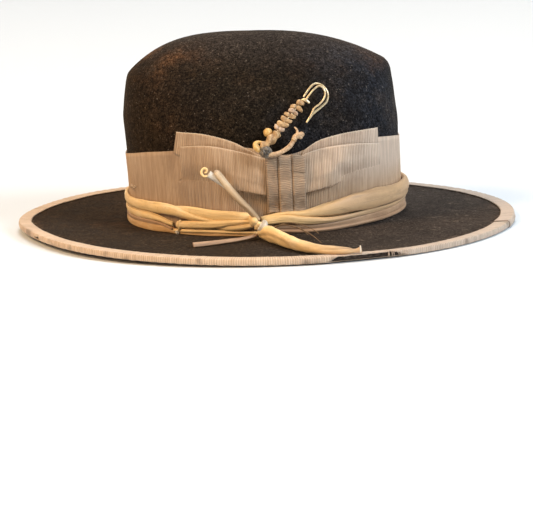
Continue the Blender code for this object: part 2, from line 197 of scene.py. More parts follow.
def brim_point(angle, reach, lift=0.0):
    inner = wall_point(angle, 0.0, -FELT / 2)
    half_width = BRIM_HALF_WIDTH * (1.0 - FRONT_POINT * max(0.0, -cos(angle)) ** 8)
    x = inner[0] + (BRIM_HALF_LENGTH * cos(angle) - inner[0]) * reach
    y = inner[1] + (half_width * sin(angle) - inner[1]) * reach
    foot = inner[2] * max(0.0, 1.0 - reach) ** 3
    drop = edge_drop(angle) * sin(min(reach, 1.0) * pi / 2)
    return (x, y, lift + foot - drop + brim_wave(angle, min(reach, 1.0)))


def place(point):
    return Vector((point[0] * MM, point[1] * MM, (point[2] + BASE_Z) * MM))


# ---------------------------------------------------------------- materials

def add(tree, kind, inputs=None, **settings):
    """A node with its inputs set, or linked where the value is another node's socket."""
    made = tree.nodes.new(kind)
    for key, value in settings.items():
        setattr(made, key, value)
    for key, value in (inputs or {}).items():
        socket = made.inputs[key]
        if isinstance(value, bpy.types.NodeSocket):
            tree.links.new(value, socket)
        else:
            socket.default_value = value
    return made


def ramp(tree, value, low, high):
    """0 to 1 as value goes from low to high."""
    return add(tree, "ShaderNodeMapRange", {"Value": value, "From Min": low, "From Max": high},
               interpolation_type="SMOOTHSTEP").outputs["Result"]


def mix(tree, share, first, second):
    made = add(tree, "ShaderNodeMix", data_type="RGBA")
    for socket, value in zip((made.inputs[0], made.inputs[6], made.inputs[7]), (share, first, second)):
        if isinstance(value, bpy.types.NodeSocket):
            tree.links.new(value, socket)
        else:
            socket.default_value = value if isinstance(value, float) else (*value, 1.0)
    return made.outputs[2]


def calc(tree, operation, first, second=0.0):
    return add(tree, "ShaderNodeMath", {0: first, 1: second}, operation=operation).outputs[0]


def times(tree, first, second):
    return calc(tree, "MULTIPLY", first, second)


def plus(tree, first, second):
    return calc(tree, "ADD", first, second)


def layer(tree, under, over, pattern, low, high, most):
    """Lays a colour over another where a pattern passes from low to high, with this much cover at most."""
    return mix(tree, times(tree, ramp(tree, pattern, low, high), most), under, over)


def shade(color, share):
    return tuple(c * share for c in color)


def axes_of(tree, vector):
    return add(tree, "ShaderNodeSeparateXYZ", {0: vector}).outputs


def grain(tree, coordinates, scale, detail=3.0, roughness=0.6, stretch=None):
    if stretch is not None:
        coordinates = add(tree, "ShaderNodeVectorMath", {0: coordinates, 1: stretch},
                          operation="MULTIPLY").outputs[0]
    return add(tree, "ShaderNodeTexNoise",
               {"Vector": coordinates, "Scale": scale, "Detail": detail, "Roughness": roughness}).outputs["Fac"]


def bump(tree, height, distance, strength=1.0, under=None):
    inputs = {"Height": height, "Distance": distance, "Strength": strength}
    if under is not None:
        inputs["Normal"] = under
    return add(tree, "ShaderNodeBump", inputs).outputs["Normal"]


def new_material(name, roughness, metallic=0.0, sheen=0.0, sheen_roughness=0.6, specular=0.5):
    made = bpy.data.materials.new(name)
    made.use_nodes = True
    tree = made.node_tree
    shader = tree.nodes["Principled BSDF"]
    for key, value in (("Roughness", roughness), ("Metallic", metallic), ("Sheen Weight", sheen),
                       ("Sheen Roughness", sheen_roughness), ("Specular IOR Level", specular)):
        shader.inputs[key].default_value = value
    return made, tree, shader


def dress(made, tree, shader, color, normal):
    """Links a material's colour and relief, and hands it back."""
    tree.links.new(color, shader.inputs["Base Color"])
    tree.links.new(normal, shader.inputs["Normal"])
    return made


def run_of(tree):
    """The piece's own coordinates, in metres: along it, across it."""
    return add(tree, "ShaderNodeAttribute", attribute_name="run").outputs["Vector"]


def wear_and_shade_of(tree):
    return add(tree, "ShaderNodeAttribute", attribute_name="wear_and_shade").outputs["Fac"]


def place_of(tree):
    return add(tree, "ShaderNodeTexCoord").outputs["Object"]


def felt_material():
    """Old felt: brown towards the front, blue-black at the back, dusty on the brim, rubbed on its edges, with a
    painted highlight on the crown's top.
    """
    made, tree, shader = new_material("felt", 0.95, sheen=0.09, sheen_roughness=0.35, specular=0.05)
    shader.inputs["Sheen Tint"].default_value = (0.80, 0.66, 0.52, 1.0)
    where = place_of(tree)
    axes = axes_of(tree, where)
    mottle = grain(tree, where, 16.0, 5.0, 0.62)
    patches = grain(tree, where, 38.0, 6.0, 0.7)
    on_brim = ramp(tree, axes["Z"], 0.015, 0.011)
    shift = plus(tree, axes["X"], times(tree, calc(tree, "SUBTRACT", mottle, 0.5), 0.20))
    crown = mix(tree, ramp(tree, shift, -0.08, 0.0), (0.0150, 0.0094, 0.0050), (0.0092, 0.0070, 0.0048))
    crown = mix(tree, ramp(tree, shift, 0.0, 0.08), crown, (0.0100, 0.0110, 0.0138))
    # Painted highlight: the top of the crown is made lighter, as if lit from above.
    crown = layer(tree, crown, (0.050, 0.040, 0.035), axes["Z"], 0.122, 0.146, 0.32)
    brim = mix(tree, ramp(tree, shift, -0.06, 0.08), (0.0170, 0.0104, 0.0056), (0.0250, 0.0195, 0.0165))
    color = mix(tree, on_brim, crown, brim)
    tint = mix(tree, ramp(tree, axes["X"], -0.10, 0.12), (0.060, 0.032, 0.016), (0.048, 0.038, 0.032))
    from_middle = calc(tree, "ABSOLUTE", axes["X"])
    ends = plus(tree, times(tree, ramp(tree, from_middle, 0.03, 0.08), 0.32), 0.06)
    color = layer(tree, color, tint, patches, 0.50, 0.72, ends)
    color = layer(tree, color, (0.0065, 0.0055, 0.0055), grain(tree, where, 24.0, 5.0, 0.6), 0.44, 0.60, 0.28)
    worn = wear_and_shade_of(tree)
    rub = times(tree, worn, ramp(tree, plus(tree, patches, times(tree, worn, 0.22)), 0.42, 0.90))
    color = mix(tree, rub, color, (0.115, 0.052, 0.021))
    color = layer(tree, color, (0.30, 0.25, 0.20), grain(tree, where, 520.0, 3.0, 0.6), 0.63, 0.72, 0.17)
    back_brim = times(tree, ramp(tree, axes["X"], 0.02, 0.07), on_brim)
    color = layer(tree, color, (0.20, 0.155, 0.115), grain(tree, where, 60.0, 6.0, 0.74, (1.0, 1.6, 0.6)),
                  0.56, 0.78, plus(tree, 0.09, times(tree, back_brim, 0.50)))
    for scale, low, high in ((300.0, 0.52, 1.55), (640.0, 0.15, 2.15), (1300.0, 0.2, 2.1)):
        fibers = grain(tree, where, scale, 3.0, 0.7)
        nap = add(tree, "ShaderNodeMapRange", {"Value": fibers, "From Min": 0.32, "From Max": 0.68,
                                               "To Min": low, "To Max": high}).outputs["Result"]
        color = add(tree, "ShaderNodeVectorMath", {0: color, 1: nap}, operation="MULTIPLY").outputs[0]
    normal = bump(tree, grain(tree, where, 1300.0, 3.0, 0.8), 0.00030, 0.9)
    normal = bump(tree, grain(tree, where, 330.0, 4.0, 0.7), 0.00055, 0.8, normal)
    return dress(made, tree, shader, color, normal)


def ribbon_material(name, base, dark, dirt_and_shade, rib_pitch=RIB_PITCH, cut=0.35, faded=None, faded_above=None):
    """Ribbed ribbon: cords across its width, bleached towards the back, with stains."""
    made, tree, shader = new_material(name, 0.72, sheen=0.12, specular=0.35)
    run = run_of(tree)
    where = place_of(tree)
    along = axes_of(tree, run)["X"]
    turn = times(tree, along, 2 * pi / (rib_pitch * MM))
    uneven = grain(tree, run, 260.0, 2.0, 0.5, (1.0, 0.25, 1.0))
    wobble = times(tree, calc(tree, "SUBTRACT", uneven, 0.5), 3.0)
    rib = times(tree, plus(tree, calc(tree, "SINE", plus(tree, turn, wobble)), 1.0), 0.5)
    streak = grain(tree, run, 420.0, 3.0, 0.7, (1.0, 0.055, 1.0))
    wide = grain(tree, run, 90.0, 4.0, 0.6, (1.0, 0.16, 1.0))
    stain = grain(tree, where, 26.0, 5.0, 0.65)
    if faded:
        axes = axes_of(tree, where)
        bleached = ramp(tree, plus(tree, axes["X"], times(tree, stain, 0.05)), 0.0, 0.12)
        # The ribbon is bleached only above this height. The darker lower band is its unbleached colour, and it is
        # also painted shade under the bow loops.
        if faded_above:
            bleached = times(tree, bleached, ramp(tree, axes["Z"], *faded_above))
        base = mix(tree, bleached, base, faded)
        dark = mix(tree, bleached, dark, shade(faded, 0.72))
    color = mix(tree, ramp(tree, streak, 0.30, 0.72), dark, base)
    color = layer(tree, color, dark, wide, 0.42, 0.72, 0.42)
    color = layer(tree, color, dirt_and_shade, stain, 0.50, 0.74, 0.55)
    color = mix(tree, times(tree, calc(tree, "SUBTRACT", 1.0, rib), cut), color, shade(dirt_and_shade, 0.42))
    # Darkened by the mask: rubbed dirt, and on the band also a painted shadow under the right bow loop and painted
    # shade towards its foot.
    color = mix(tree, wear_and_shade_of(tree), color, shade(dirt_and_shade, 0.30))
    normal = bump(tree, rib, 0.00028, 0.85)
    normal = bump(tree, grain(tree, run, 2600.0, 2.0, 0.6, (1.0, 0.5, 1.0)), 0.00008, 0.6, normal)
    return dress(made, tree, shader, color, normal)


def leather_material(name, base, dark, pale, shine=0.52, faded=None):
    """Soft hide: creases along its length, rubbed pale on top, dirty in the folds, greyer to the back."""
    made, tree, shader = new_material(name, shine, sheen=0.08, specular=0.45)
    run = run_of(tree)
    where = place_of(tree)
    crease = grain(tree, run, 120.0, 4.0, 0.6, (0.22, 1.0, 1.0))
    blotch = grain(tree, where, 48.0, 5.0, 0.6)
    speck = grain(tree, where, 420.0, 3.0, 0.6)
    if faded:
        bleached = ramp(tree, axes_of(tree, where)["X"], 0.0, 0.07)
        base, dark, pale = (mix(tree, bleached, tone, shade(faded, share))
                            for tone, share in ((base, 1.0), (dark, 0.58), (pale, 1.18)))
        deepest = shade(faded, 0.2)
    else:
        deepest = shade(dark, 0.35)
    color = mix(tree, ramp(tree, crease, 0.22, 0.52), dark, base)
    color = layer(tree, color, pale, blotch, 0.50, 0.72, 0.6)
    color = layer(tree, color, dark, speck, 0.60, 0.75, 0.35)
    color = mix(tree, wear_and_shade_of(tree), color, deepest)
    normal = bump(tree, grain(tree, where, 900.0, 3.0, 0.6), 0.00010, 0.7)
    normal = bump(tree, crease, 0.00040, 0.7, normal)
    return dress(made, tree, shader, color, normal)


def metal_material():
    made, tree, shader = new_material("pale_gilt_wire", 0.30, metallic=1.0)
    tarnish = grain(tree, place_of(tree), 260.0, 4.0, 0.6)
    color = mix(tree, ramp(tree, tarnish, 0.42, 0.70), (0.83, 0.70, 0.47), (0.52, 0.37, 0.19))
    tree.links.new(ramp(tree, tarnish, -0.2, 1.4), shader.inputs["Roughness"])
    normal = bump(tree, grain(tree, place_of(tree), 1500.0, 2.0), 0.00005, 0.5)
    return dress(made, tree, shader, color, normal)


def bead_material(name, base, dark, shine):
    made, tree, shader = new_material(name, shine, specular=0.5)
    where = place_of(tree)
    ring = grain(tree, where, 520.0, 4.0, 0.65)
    color = mix(tree, ramp(tree, ring, 0.34, 0.64), dark, base)
    color = layer(tree, color, shade(base, 1.35), grain(tree, where, 160.0), 0.5, 0.7, 0.4)
    color = mix(tree, wear_and_shade_of(tree), color, shade(dark, 0.25))
    return dress(made, tree, shader, color, bump(tree, ring, 0.00030, 0.8))


def cloth_material(name, base, dark, shine=0.5):
    """Smooth woven lining."""
    made, tree, shader = new_material(name, shine, sheen=0.2)
    run = run_of(tree)
    weave = grain(tree, run, 1500.0, 2.0, 0.5, (1.0, 0.2, 1.0))
    stain = grain(tree, place_of(tree), 22.0, 5.0, 0.65)
    color = mix(tree, ramp(tree, stain, 0.40, 0.70), base, dark)
    color = mix(tree, times(tree, weave, 0.3), color, dark)
    return dress(made, tree, shader, color, bump(tree, weave, 0.00012, 0.7))


# ---------------------------------------------------------------- mesh helpers

def new_object(name, data, material, body, slot, node=None):
    """An object that rides on a body and may stand for a CAD node; its slot is not used."""
    data.materials.append(material)
    made = bpy.data.objects.new(name, data)
    bpy.context.scene.collection.objects.link(made)
    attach(made, body)
    if node:
        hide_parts(node)
    return made


def mesh_object(name, verts, faces, runs, wear_and_shade_values, material, *where):
    mesh = bpy.data.meshes.new(name)
    mesh.from_pydata([place(v) for v in verts], [], faces)
    mesh.shade_smooth()
    run = mesh.attributes.new("run", "FLOAT_VECTOR", "POINT")
    run.data.foreach_set("vector", [c * MM for r in runs for c in (*r, 0.0)])
    wear_and_shade = mesh.attributes.new("wear_and_shade", "FLOAT", "POINT")
    wear_and_shade.data.foreach_set("value", wear_and_shade_values)
    return new_object(name, mesh, material, *where)


def grid_faces(rows, columns, closed=True):
    """The faces between neighbouring rows of a grid of points."""
    return [(row * columns + column, row * columns + (column + 1) % columns,
             (row + 1) * columns + (column + 1) % columns, (row + 1) * columns + column)
            for row in range(rows) for column in range(columns if closed else columns - 1)]


def ring_faces(ring, new, flip):
    """The faces between two rings of points."""
    faces = []
    for step in range(len(ring)):
        after = (step + 1) % len(ring)
        quad = (ring[step], ring[after], new[after], new[step])
        faces.append(quad[::-1] if flip else quad)
    return faces


def weld_poles(made):
    """Joins the points that fall together at the two ends of a ball."""
    made.modifiers.new("Poles", "WELD").merge_threshold = 0.00001


def lines_object(name, lines, resolution, material, *where):
    """Round threads. Each line is a list of (point, radius), the radius in millimetres."""
    curve = bpy.data.curves.new(name, "CURVE")
    curve.dimensions = "3D"
    curve.bevel_depth = 1.0
    curve.bevel_resolution = resolution
    for points in lines:
        line = curve.splines.new("POLY")
        line.points.add(len(points) - 1)
        for spot, (point, radius) in zip(line.points, points):
            spot.co = (*place(point), 1.0)
            spot.radius = radius * MM
    return new_object(name, curve, material, *where)


def skin(name, point, across, along, material, slot, node=None, closed=False, thickness=0.5, tip=None,
         skip=None, wear_and_shade=None, body="hat"):
    """A sheet over a grid. point(u, v) gives ((x, y, z), (run along, run across)).

    across and along are the lists of u and v; u goes round or along, v across the strip.
    """
    verts, runs, wear_and_shade_values = [], [], []
    for v in along:
        for u in across:
            spot, run = point(u, v)
            verts.append(spot)
            runs.append(run)
            wear_and_shade_values.append(wear_and_shade(u, v) if wear_and_shade else 0.0)
    count = len(across)
    faces = [face for face in grid_faces(len(along) - 1, count, closed)
             if not (skip and skip(across[face[0] % count], along[face[0] // count]))]
    if tip is not None:
        spot, run = tip
        verts.append(spot)
        runs.append(run)
        wear_and_shade_values.append(wear_and_shade_values[-1])
        base = (len(along) - 1) * count
        faces += [(base + column, base + (column + 1) % count, len(verts) - 1) for column in range(count)]
    made = mesh_object(name, verts, faces, runs, wear_and_shade_values, material, body, slot, node)
    solid = made.modifiers.new("Thickness", "SOLIDIFY")
    solid.thickness = thickness * MM
    solid.offset = 0.0
    solid.use_even_offset = True
    return made


def steps(low, high, count):
    return [low + (high - low) * index / count for index in range(count + 1)]


def circle(count, start=0.0):
    """Angles evenly round a full turn."""
    return [start + 2 * pi * index / count for index in range(count)]


def smooth_path(points, parts):
    """A smooth line through the points, each stretch cut into parts."""
    ends = [points[0]] + list(points) + [points[-1]]
    path = []
    for index in range(len(points) - 1):
        a, b, c, d = [Vector(p) for p in ends[index:index + 4]]
        for step in range(parts):
            t = step / parts
            path.append(0.5 * (2 * b + (c - a) * t + (2 * a - 5 * b + 4 * c - d) * t ** 2
                               + (3 * b - a - 3 * c + d) * t ** 3))
    path.append(Vector(points[-1]))
    return path


def spread(values, share):
    """Reads a short list as a smooth run from share 0 to 1."""
    table = [(index / (len(values) - 1), value) for index, value in enumerate(values)]
    return curve_at(table, share)[0]


def folds_at(fold, length, seed):
    """How deep in one of the hide's sharp lengthwise folds a place lies, 0 to 1."""
    depth = 0.0
    for index, start in enumerate((0.45, 5.65, 3.6)):
        middle = start + 0.35 * sin(0.017 * length * (1 + 0.3 * index) + seed * (index + 1))
        strength = 0.55 + 0.45 * sin(0.023 * length + seed * 3 + index * 2)
        away = (fold - middle + pi) % (2 * pi) - pi
        depth = max(depth, strength * bell(away, 0.0, 0.16))
    return depth


def thong(name, path, tall, thick, material, slot, node=None, sides=18, crease=0.10, seed=1.0, twist=0.0,
          up=(0, 0, 1), body="hat", hollow=0.55, crumple=0.05, folded=0.16):
    """A strip of hide rolled into a cord along a path, with its creases running down it.

    tall and thick are half sizes read along the path; hollow sinks its cut ends.
    """
    verts, runs, wear_and_shade_values = [], [], []
    length = 0.0
    guide = Vector(up)
    last = len(path) - 1
    for index, middle in enumerate(path):
        ahead = path[min(index + 1, last)] - path[max(index - 1, 0)]
        ahead.normalize()
        side = guide.cross(ahead).normalized()
        guide = ahead.cross(side).normalized()
        if index:
            length += (middle - path[index - 1]).length
        share = index / last
        half_tall, half_thick = spread(tall, share), spread(thick, share)
        for turn in circle(sides):
            fold = turn + twist * share
            ridge = (1 + crease * sin(2 * fold + 0.02 * length + seed)
                     + crumple * 2.2 * rough(length * 0.16, 1.7 * cos(turn), 1.7 * sin(turn), seed)
                     - folded * folds_at(fold, length * 3, seed))
            spot = middle + (side * (half_thick * cos(turn)) + guide * (half_tall * sin(turn))) * ridge
            verts.append(tuple(spot))
            runs.append((length, turn * max(half_tall, half_thick)))
            wear_and_shade_values.append(limited((1.0 - ridge) * 2.2))
    faces = grid_faces(last, sides)
    for end, inward in ((0, 1), (last, -1)):
        ahead = (path[min(end + 1, last)] - path[max(end - 1, 0)]).normalized()
        ring = [end * sides + step for step in range(sides)]
        for shrink, depth in ((0.82, -0.15), (0.60, hollow), (0.25, hollow * 1.6)):
            radius = (spread(tall, end / last) + spread(thick, end / last)) / 2
            new = []
            for step in range(sides):
                rim = Vector(verts[end * sides + step]) - path[end]
                verts.append(tuple(path[end] + rim * shrink + ahead * inward * depth * radius))
                runs.append(runs[end * sides + step])
                wear_and_shade_values.append(0.25 + 0.5 * (1 - shrink))
                new.append(len(verts) - 1)
            faces += ring_faces(ring, new, inward > 0)
            ring = new
        faces.append(tuple(ring[::-1] if inward > 0 else ring))
    return mesh_object(name, verts, faces, runs, wear_and_shade_values, material, body, slot, node)


def wire(name, points, radius, material, slot, node=None, body="hat", parts=6, taper=(1.0, 1.0)):
    """A fine wire or thread on a smooth curve."""
    path = smooth_path(points, parts)
    line = [(point, radius * spread(taper, index / (len(path) - 1))) for index, point in enumerate(path)]
    made = lines_object(name, [line], 3, material, body, slot, node)
    made.data.use_fill_caps = True
    return made


# ---------------------------------------------------------------- felt

FOOT_REACH, FOOT_TOP = 0.08, 6.0        # the rounding between brim and wall


def felt_dent(angle, rise):
    """Soft dents and swells of a crown that has been handled."""
    low = ring_noise(angle, 1.5, rise * 0.016, 11)
    fine = ring_noise(angle, 7.0, rise * 0.085, 23)
    amount = soft(48.0, 80.0, rise) * (1.0 - 0.85 * soft(92.0, 114.0, rise))
    return amount * (1.1 * low + 0.28 * fine)


def make_felt(material):
    """Crown and brim, blocked from one piece."""
    middle = -FELT / 2
    rows = [("brim", reach) for reach in (1.0, 0.985, 0.965, 0.94, 0.9, 0.85, 0.8, 0.74, 0.68, 0.62, 0.56, 0.5,
                                          0.44, 0.38, 0.32, 0.26, 0.2, 0.15, 0.11, FOOT_REACH)]
    rows += [("foot", share) for share in (0.25, 0.5, 0.75)]
    rows += [("wall", rise) for rise in steps(FOOT_TOP, WALL_TURNS_IN, 30)]
    rows += [("wall", rise) for rise in (106.5, 109.0, 111.0, 112.6, 114.0, 115.2, SHOULDER_RISE)]
    rows += [("dome", inset) for inset in (0.985, 0.965, 0.94, 0.91, 0.87, 0.83, 0.78, 0.72, 0.66, 0.6, 0.53,
                                           0.46, 0.39, 0.32, 0.25, 0.18, 0.11, 0.05)]

    def point(angle, row):
        kind, value = rows[row]
        if kind == "brim":
            spot = brim_point(angle, value)
            ripple = 0.22 * rough(spot[0] * 0.09, spot[1] * 0.09, 0.0, 41) * soft(0.0, 0.2, 1.0 - value)
            spot = (spot[0], spot[1], spot[2] + ripple)
        elif kind == "foot":
            low = Vector(brim_point(angle, FOOT_REACH))
            high = Vector(wall_point(angle, FOOT_TOP, middle))
            corner = Vector(wall_point(angle, 0.0, middle))
            spot = tuple(low * (1 - value) ** 2 + corner * 2 * value * (1 - value) + high * value ** 2)
        elif kind == "wall":
            spot = wall_point(angle, value, middle + felt_dent(angle, value))
            spot = (spot[0], spot[1], spot[2] + middle * soft(WALL_TURNS_IN, SHOULDER_RISE, value))
        else:
            spot = dome_point(angle, value, middle)
            swell = felt_dent(angle, SHOULDER_RISE + 22 * (1 - value)) * min(1.0, value * 1.4)
            spot = (spot[0], spot[1], spot[2] + swell * (1 - value) * 1.3)
            if value > 0.9:
                side = Vector(wall_point(angle, SHOULDER_RISE, middle + felt_dent(angle, SHOULDER_RISE)))
                share = (value - 0.9) / 0.1
                edge = Vector(wall_point(angle, SHOULDER_RISE, middle))
                spot = tuple(Vector(spot) + (side - edge) * share)
        return spot, (angle * CROWN_RADIUS, value * CROWN_RADIUS)

    def wear_and_shade(angle, row):
        kind, value = rows[row]
        if kind in ("wall", "dome"):
            if kind == "wall":
                ridge, slope = bell(value, SHOULDER_RISE, 7.0), 0.0
            else:
                ridge, slope = bell(value, 1.0, 0.16), bell(value, 0.80, 0.12)
            front = soft(0.10, 0.85, -cos(angle)) * 0.62
            back = soft(0.72, 0.98, cos(angle)) * 0.50
            return max(front * max(slope, 0.4 * ridge), back * ridge, 0.10 * ridge)
        if kind == "brim":
            return 0.25 * bell(value, 0.9, 0.07)
        return 0.0

    tip = (dome_point(0.0, 0.0, middle), (0.0, 0.0))
    skin("felt_crown_and_brim", point, circle(300), list(range(len(rows))), material, "felt", "felt_body",
         closed=True, thickness=FELT, tip=tip, wear_and_shade=wear_and_shade)


# ---------------------------------------------------------------- ribbon on the brim's edge

UNIT = 1.0 / (BRIM_HALF_WIDTH - SIDE_BASE)     # a millimetre, as a share of the brim
BINDING_LEG = FELT / 2 + BINDING_GAP + BINDING / 2
EDGE_HALF_LENGTH = 187.0
BINDING_WIDTH = 24.0
LAP_FROM, LAP_TO = -0.27, -0.10
WORN_FROM, WORN_TO = (near_angle(x * NEAR_HALF_LENGTH / EDGE_HALF_LENGTH) for x in (46.0, 104.0))


def binding_point(angle, share, extra=0.0):
    """share 0 is the inner edge on top, 0.5 the outer fold, 1 the inner edge underneath."""
    wide = 9.0 + 0.55 * ring_noise(angle, 9.0, 0.0, 7) + 0.5 * sin(3 * angle + 1)
    wide -= 3.4 * bell(cos(angle), 0.55, 0.20) * bow_side(angle)
    inner = 1.0 - wide * UNIT
    leg = BINDING_LEG + extra
    out = 0.75 + extra
    top = share < 0.5
    away = 1.0 - abs(share - 0.5) * 2.0
    if away < 0.86:
        reach = inner + (1.0 + 0.2 * UNIT - inner) * away / 0.86
        height = leg
    else:
        turn = (away - 0.86) / 0.14 * pi / 2
        reach = 1.0 + (0.2 + (out - 0.2) * sin(turn)) * UNIT
        height = leg * cos(turn)
    pucker = 0.16 * ring_noise(angle, 46.0, away * 1.5, 19) + 0.10 * sin(150 * angle)
    height += pucker * min(1.0, away * 1.5 + 0.2) if height > 0.4 else 0.0
    return brim_point(angle, reach, height if top else -height)


def worn_through(angle, share):
    """Where the fold of the binding has rubbed away and shows the felt."""
    edge = ring_noise(angle, 30.0, share * 5, 31)
    long_gap = soft(WORN_FROM - 0.02, WORN_FROM + 0.05, angle) * (1 - soft(WORN_TO - 0.10, WORN_TO, angle))
    nicks = soft(0.33, 0.47, ring_noise(angle, 15.0, 0.0, 5)) * soft(0.3, 0.8, -cos(angle))
    ragged = 0.6 * edge + 0.5 * ring_noise(angle, 90.0, share * 9, 33)
    return abs(share - 0.53) < (0.12 + 0.05 * ragged) * long_gap + (0.05 + 0.05 * ragged) * nicks


def make_binding(material):
    shares = steps(0.0, 0.42, 9) + steps(0.435, 0.565, 8) + steps(0.58, 1.0, 8)

    def point(angle, share):
        return binding_point(angle, share), (angle * EDGE_RADIUS, share * BINDING_WIDTH)

    def wear_and_shade(angle, share):
        near = abs(share - 0.5)
        rub = soft(0.25, 0.55, ring_noise(angle, 22.0, share * 3, 61))
        return 0.55 * rub * (1.0 - soft(0.02, 0.22, near)) + (0.25 * rub if share < 0.06 else 0.0)

    made = skin("brim_binding_ribbon", point, circle(960, -pi), shares, material, "binding", "brim_binding",
                closed=True, thickness=0.6, skip=worn_through, wear_and_shade=wear_and_shade)

    def lap_point(angle, share):
        slant = (share - 0.5) * 0.05
        return binding_point(angle + slant, share, 0.85), (angle * EDGE_RADIUS, share * BINDING_WIDTH)

    def lap_wear(angle, _):
        return 0.5 * soft(0.015, 0.0, angle - LAP_FROM) + 0.4 * soft(LAP_TO - 0.015, LAP_TO, angle)

    lap = skin("binding_lap", lap_point, steps(LAP_FROM, LAP_TO, 34), steps(0.0, 1.0, 26), material, "binding",
               thickness=0.55, wear_and_shade=lap_wear)
    make_frays(material)
    rng = random.Random(12)
    for index in range(9):
        angle = WORN_TO - 0.02 - rng.uniform(0.0, 0.10)
        slant = rng.uniform(-0.006, 0.010)
        line = [binding_point(angle + slant * t, 0.40 + 0.17 * t, 0.15) for t in steps(0.0, 1.0, 6)]
        wire(f"binding_bare_thread_{index + 1}", line, 0.28, material, "binding", taper=[1.0, 1.0, 0.6])


def make_frays(material):
    """Broken threads standing off the binding's inner edge."""
    rng = random.Random(5)
    lines = []
    for _ in range(170):
        angle = rng.uniform(-pi, pi)
        if rng.random() < 0.25:
            angle = rng.uniform(WORN_FROM, WORN_TO)
        share = rng.choice((0.0, 0.01, 0.40, 0.44)) if rng.random() < 0.8 else 0.02
        start = Vector(binding_point(angle, share))
        inward = Vector((-cos(angle), -sin(angle), 0.0))
        side = Vector((-sin(angle), cos(angle), 0.0))
        size = rng.uniform(0.8, 2.6)
        grow = inward * size * (1 if share < 0.1 else -0.35)
        bend = side * size * rng.uniform(-1, 1)
        lines.append([(start + grow * t + bend * t * t + Vector((0, 0, 0.25 + 0.5 * t * (1 - t))),
                       0.07 * (1 - 0.6 * t)) for t in steps(0.0, 1.0, 4)])
    lines_object("binding_frays", lines, 1, material, "hat", "binding")


# ---------------------------------------------------------------- hat band and bow

BAND_FOOT = 3.0
BAND_FRONT, BAND_BACK, BAND_SIDE_EXTRA = 52.2, 56.8, 13.0
RIB_STEPS = 4                   # mesh columns to each of the ribbon's cords


def rib(run):
    """The ribbon's cords, as real relief."""
    return 0.09 * sin(2 * pi * run / RIB_PITCH)


def band_top(angle):
    share = (1 + cos(angle)) / 2
    near = bow_side(angle) + 0.5 * max(0.0, sin(angle))
    uneven = 0.5 * ring_noise(angle, 3.0, 0.0, 8)
    squeezed = 8.0 * bell(cos(angle), 0.16, 0.20) * soft(0.0, 0.6, -sin(angle))
    return BAND_FRONT + (BAND_BACK - BAND_FRONT) * share + BAND_SIDE_EXTRA * near + uneven - squeezed


def make_band(material, pale):
    def point(angle, share):
        top = band_top(angle)
        rise = BAND_FOOT + (top - BAND_FOOT) * share
        run = angle * BAND_RADIUS
        slack = 0.30 * (0.5 + ring_noise(angle, 5.0, share * 2.5, 13))
        return wall_point(angle, rise, 0.75 + slack + rib(run) * 0.8), (run, rise)

    def wear_and_shade(angle, share):
        rise = BAND_FOOT + (band_top(angle) - BAND_FOOT) * share
        patch = bell(cos(angle), -0.47, 0.13) * bell(rise, 28.0, 8.0) * (sin(angle) < 0)
        # Darker band under the right bow loop: dirt, and a painted shadow of the loop.
        grime_and_loop_shadow = 0.34 * bell(cos(angle), 0.50, 0.17) * bell(rise, 31.0, 7.0) * (sin(angle) < 0)
        # The band also darkens towards its foot: dirt and painted shade.
        return (0.42 * patch * (0.5 + 0.5 * sin(2 * pi * angle * BAND_RADIUS / 2.6)) + 0.12 * soft(24.0, 12.0, rise)
                + grime_and_loop_shadow * (0.7 + 0.3 * sin(2 * pi * angle * BAND_RADIUS / 3.1)))

    made = skin("hat_band_ribbon", point, circle(1920), steps(0.0, 1.0, 16), material, "ribbon", "hat_band",
                closed=True, thickness=0.55, wear_and_shade=wear_and_shade)
    for index, (x, rise, run, up) in enumerate(((-101.4, 29.0, 2.4, 2.0), (-100.6, 32.4, 2.0, -1.6),
                                                (-99.4, 28.4, 1.6, 2.4), (-98.2, 31.0, 1.8, 1.0))):
        angle = on_left(x)
        line = [wall_point(angle - 0.03 + run * t / 60.0, settle(rise, angle) + up * t + 1.2 * sin(pi * t),
                           1.6 + 0.9 * sin(pi * t)) for t in steps(0.0, 1.0, 5)]
        wire(f"band_loose_thread_{index + 1}", line, 0.26, pale, "ribbon")


FLAP_LIFT, LOOP_LIFT = 1.7, 2.9


def flap(name, top, foot, outer_slant, material, pale):
    """A cut end of ribbon standing up behind the bow. top and foot are tables over x."""
    low, high = top[0][0], top[-1][0]
    columns = int((high - low) / RIB_PITCH * RIB_STEPS)
    outer = low if abs(low) > abs(high) else high

    def point(x, share):
        rise_top, rise_foot = curve_at(top, x)[0], curve_at(foot, x)[0]
        rise = rise_foot + (rise_top - rise_foot) * share + 0.12 * rough(x * 0.9, share * 4, 0.0, 3)
        near_end = soft(18.0, 0.0, abs(x - outer))
        curl = near_end * share + 0.7 * share ** 2
        wave = 0.55 * rough(x * 0.06, share * 1.4, 0.0, 17)
        slide = outer_slant * near_end * (1 - share)
        return near_point(x + slide, rise, FLAP_LIFT + curl + wave + rib(x)), (x, rise)

    def wear_and_shade(x, share):
        return 0.15 * soft(0.5, 0.0, min(abs(x - low), abs(x - high)))

    def edge(t):
        return point(low + (high - low) * t, 1.0)[0]

    made = skin(name + "_ribbon", point, steps(low, high, columns), steps(0.0, 1.0, 14), material, "ribbon", name,
                wear_and_shade=wear_and_shade)
    fringe(name + "_ribbon_threads", edge, 190, pale)
    selvedge(name + "_ribbon_selvedge", edge, pale)


def selvedge(name, edge, material):
    """The ribbon's pale woven edge; edge(t) runs along it for t from 0 to 1."""
    wire(name, [edge(t) for t in steps(0.0, 1.0, 160)], 0.30, material, "ribbon", parts=1)


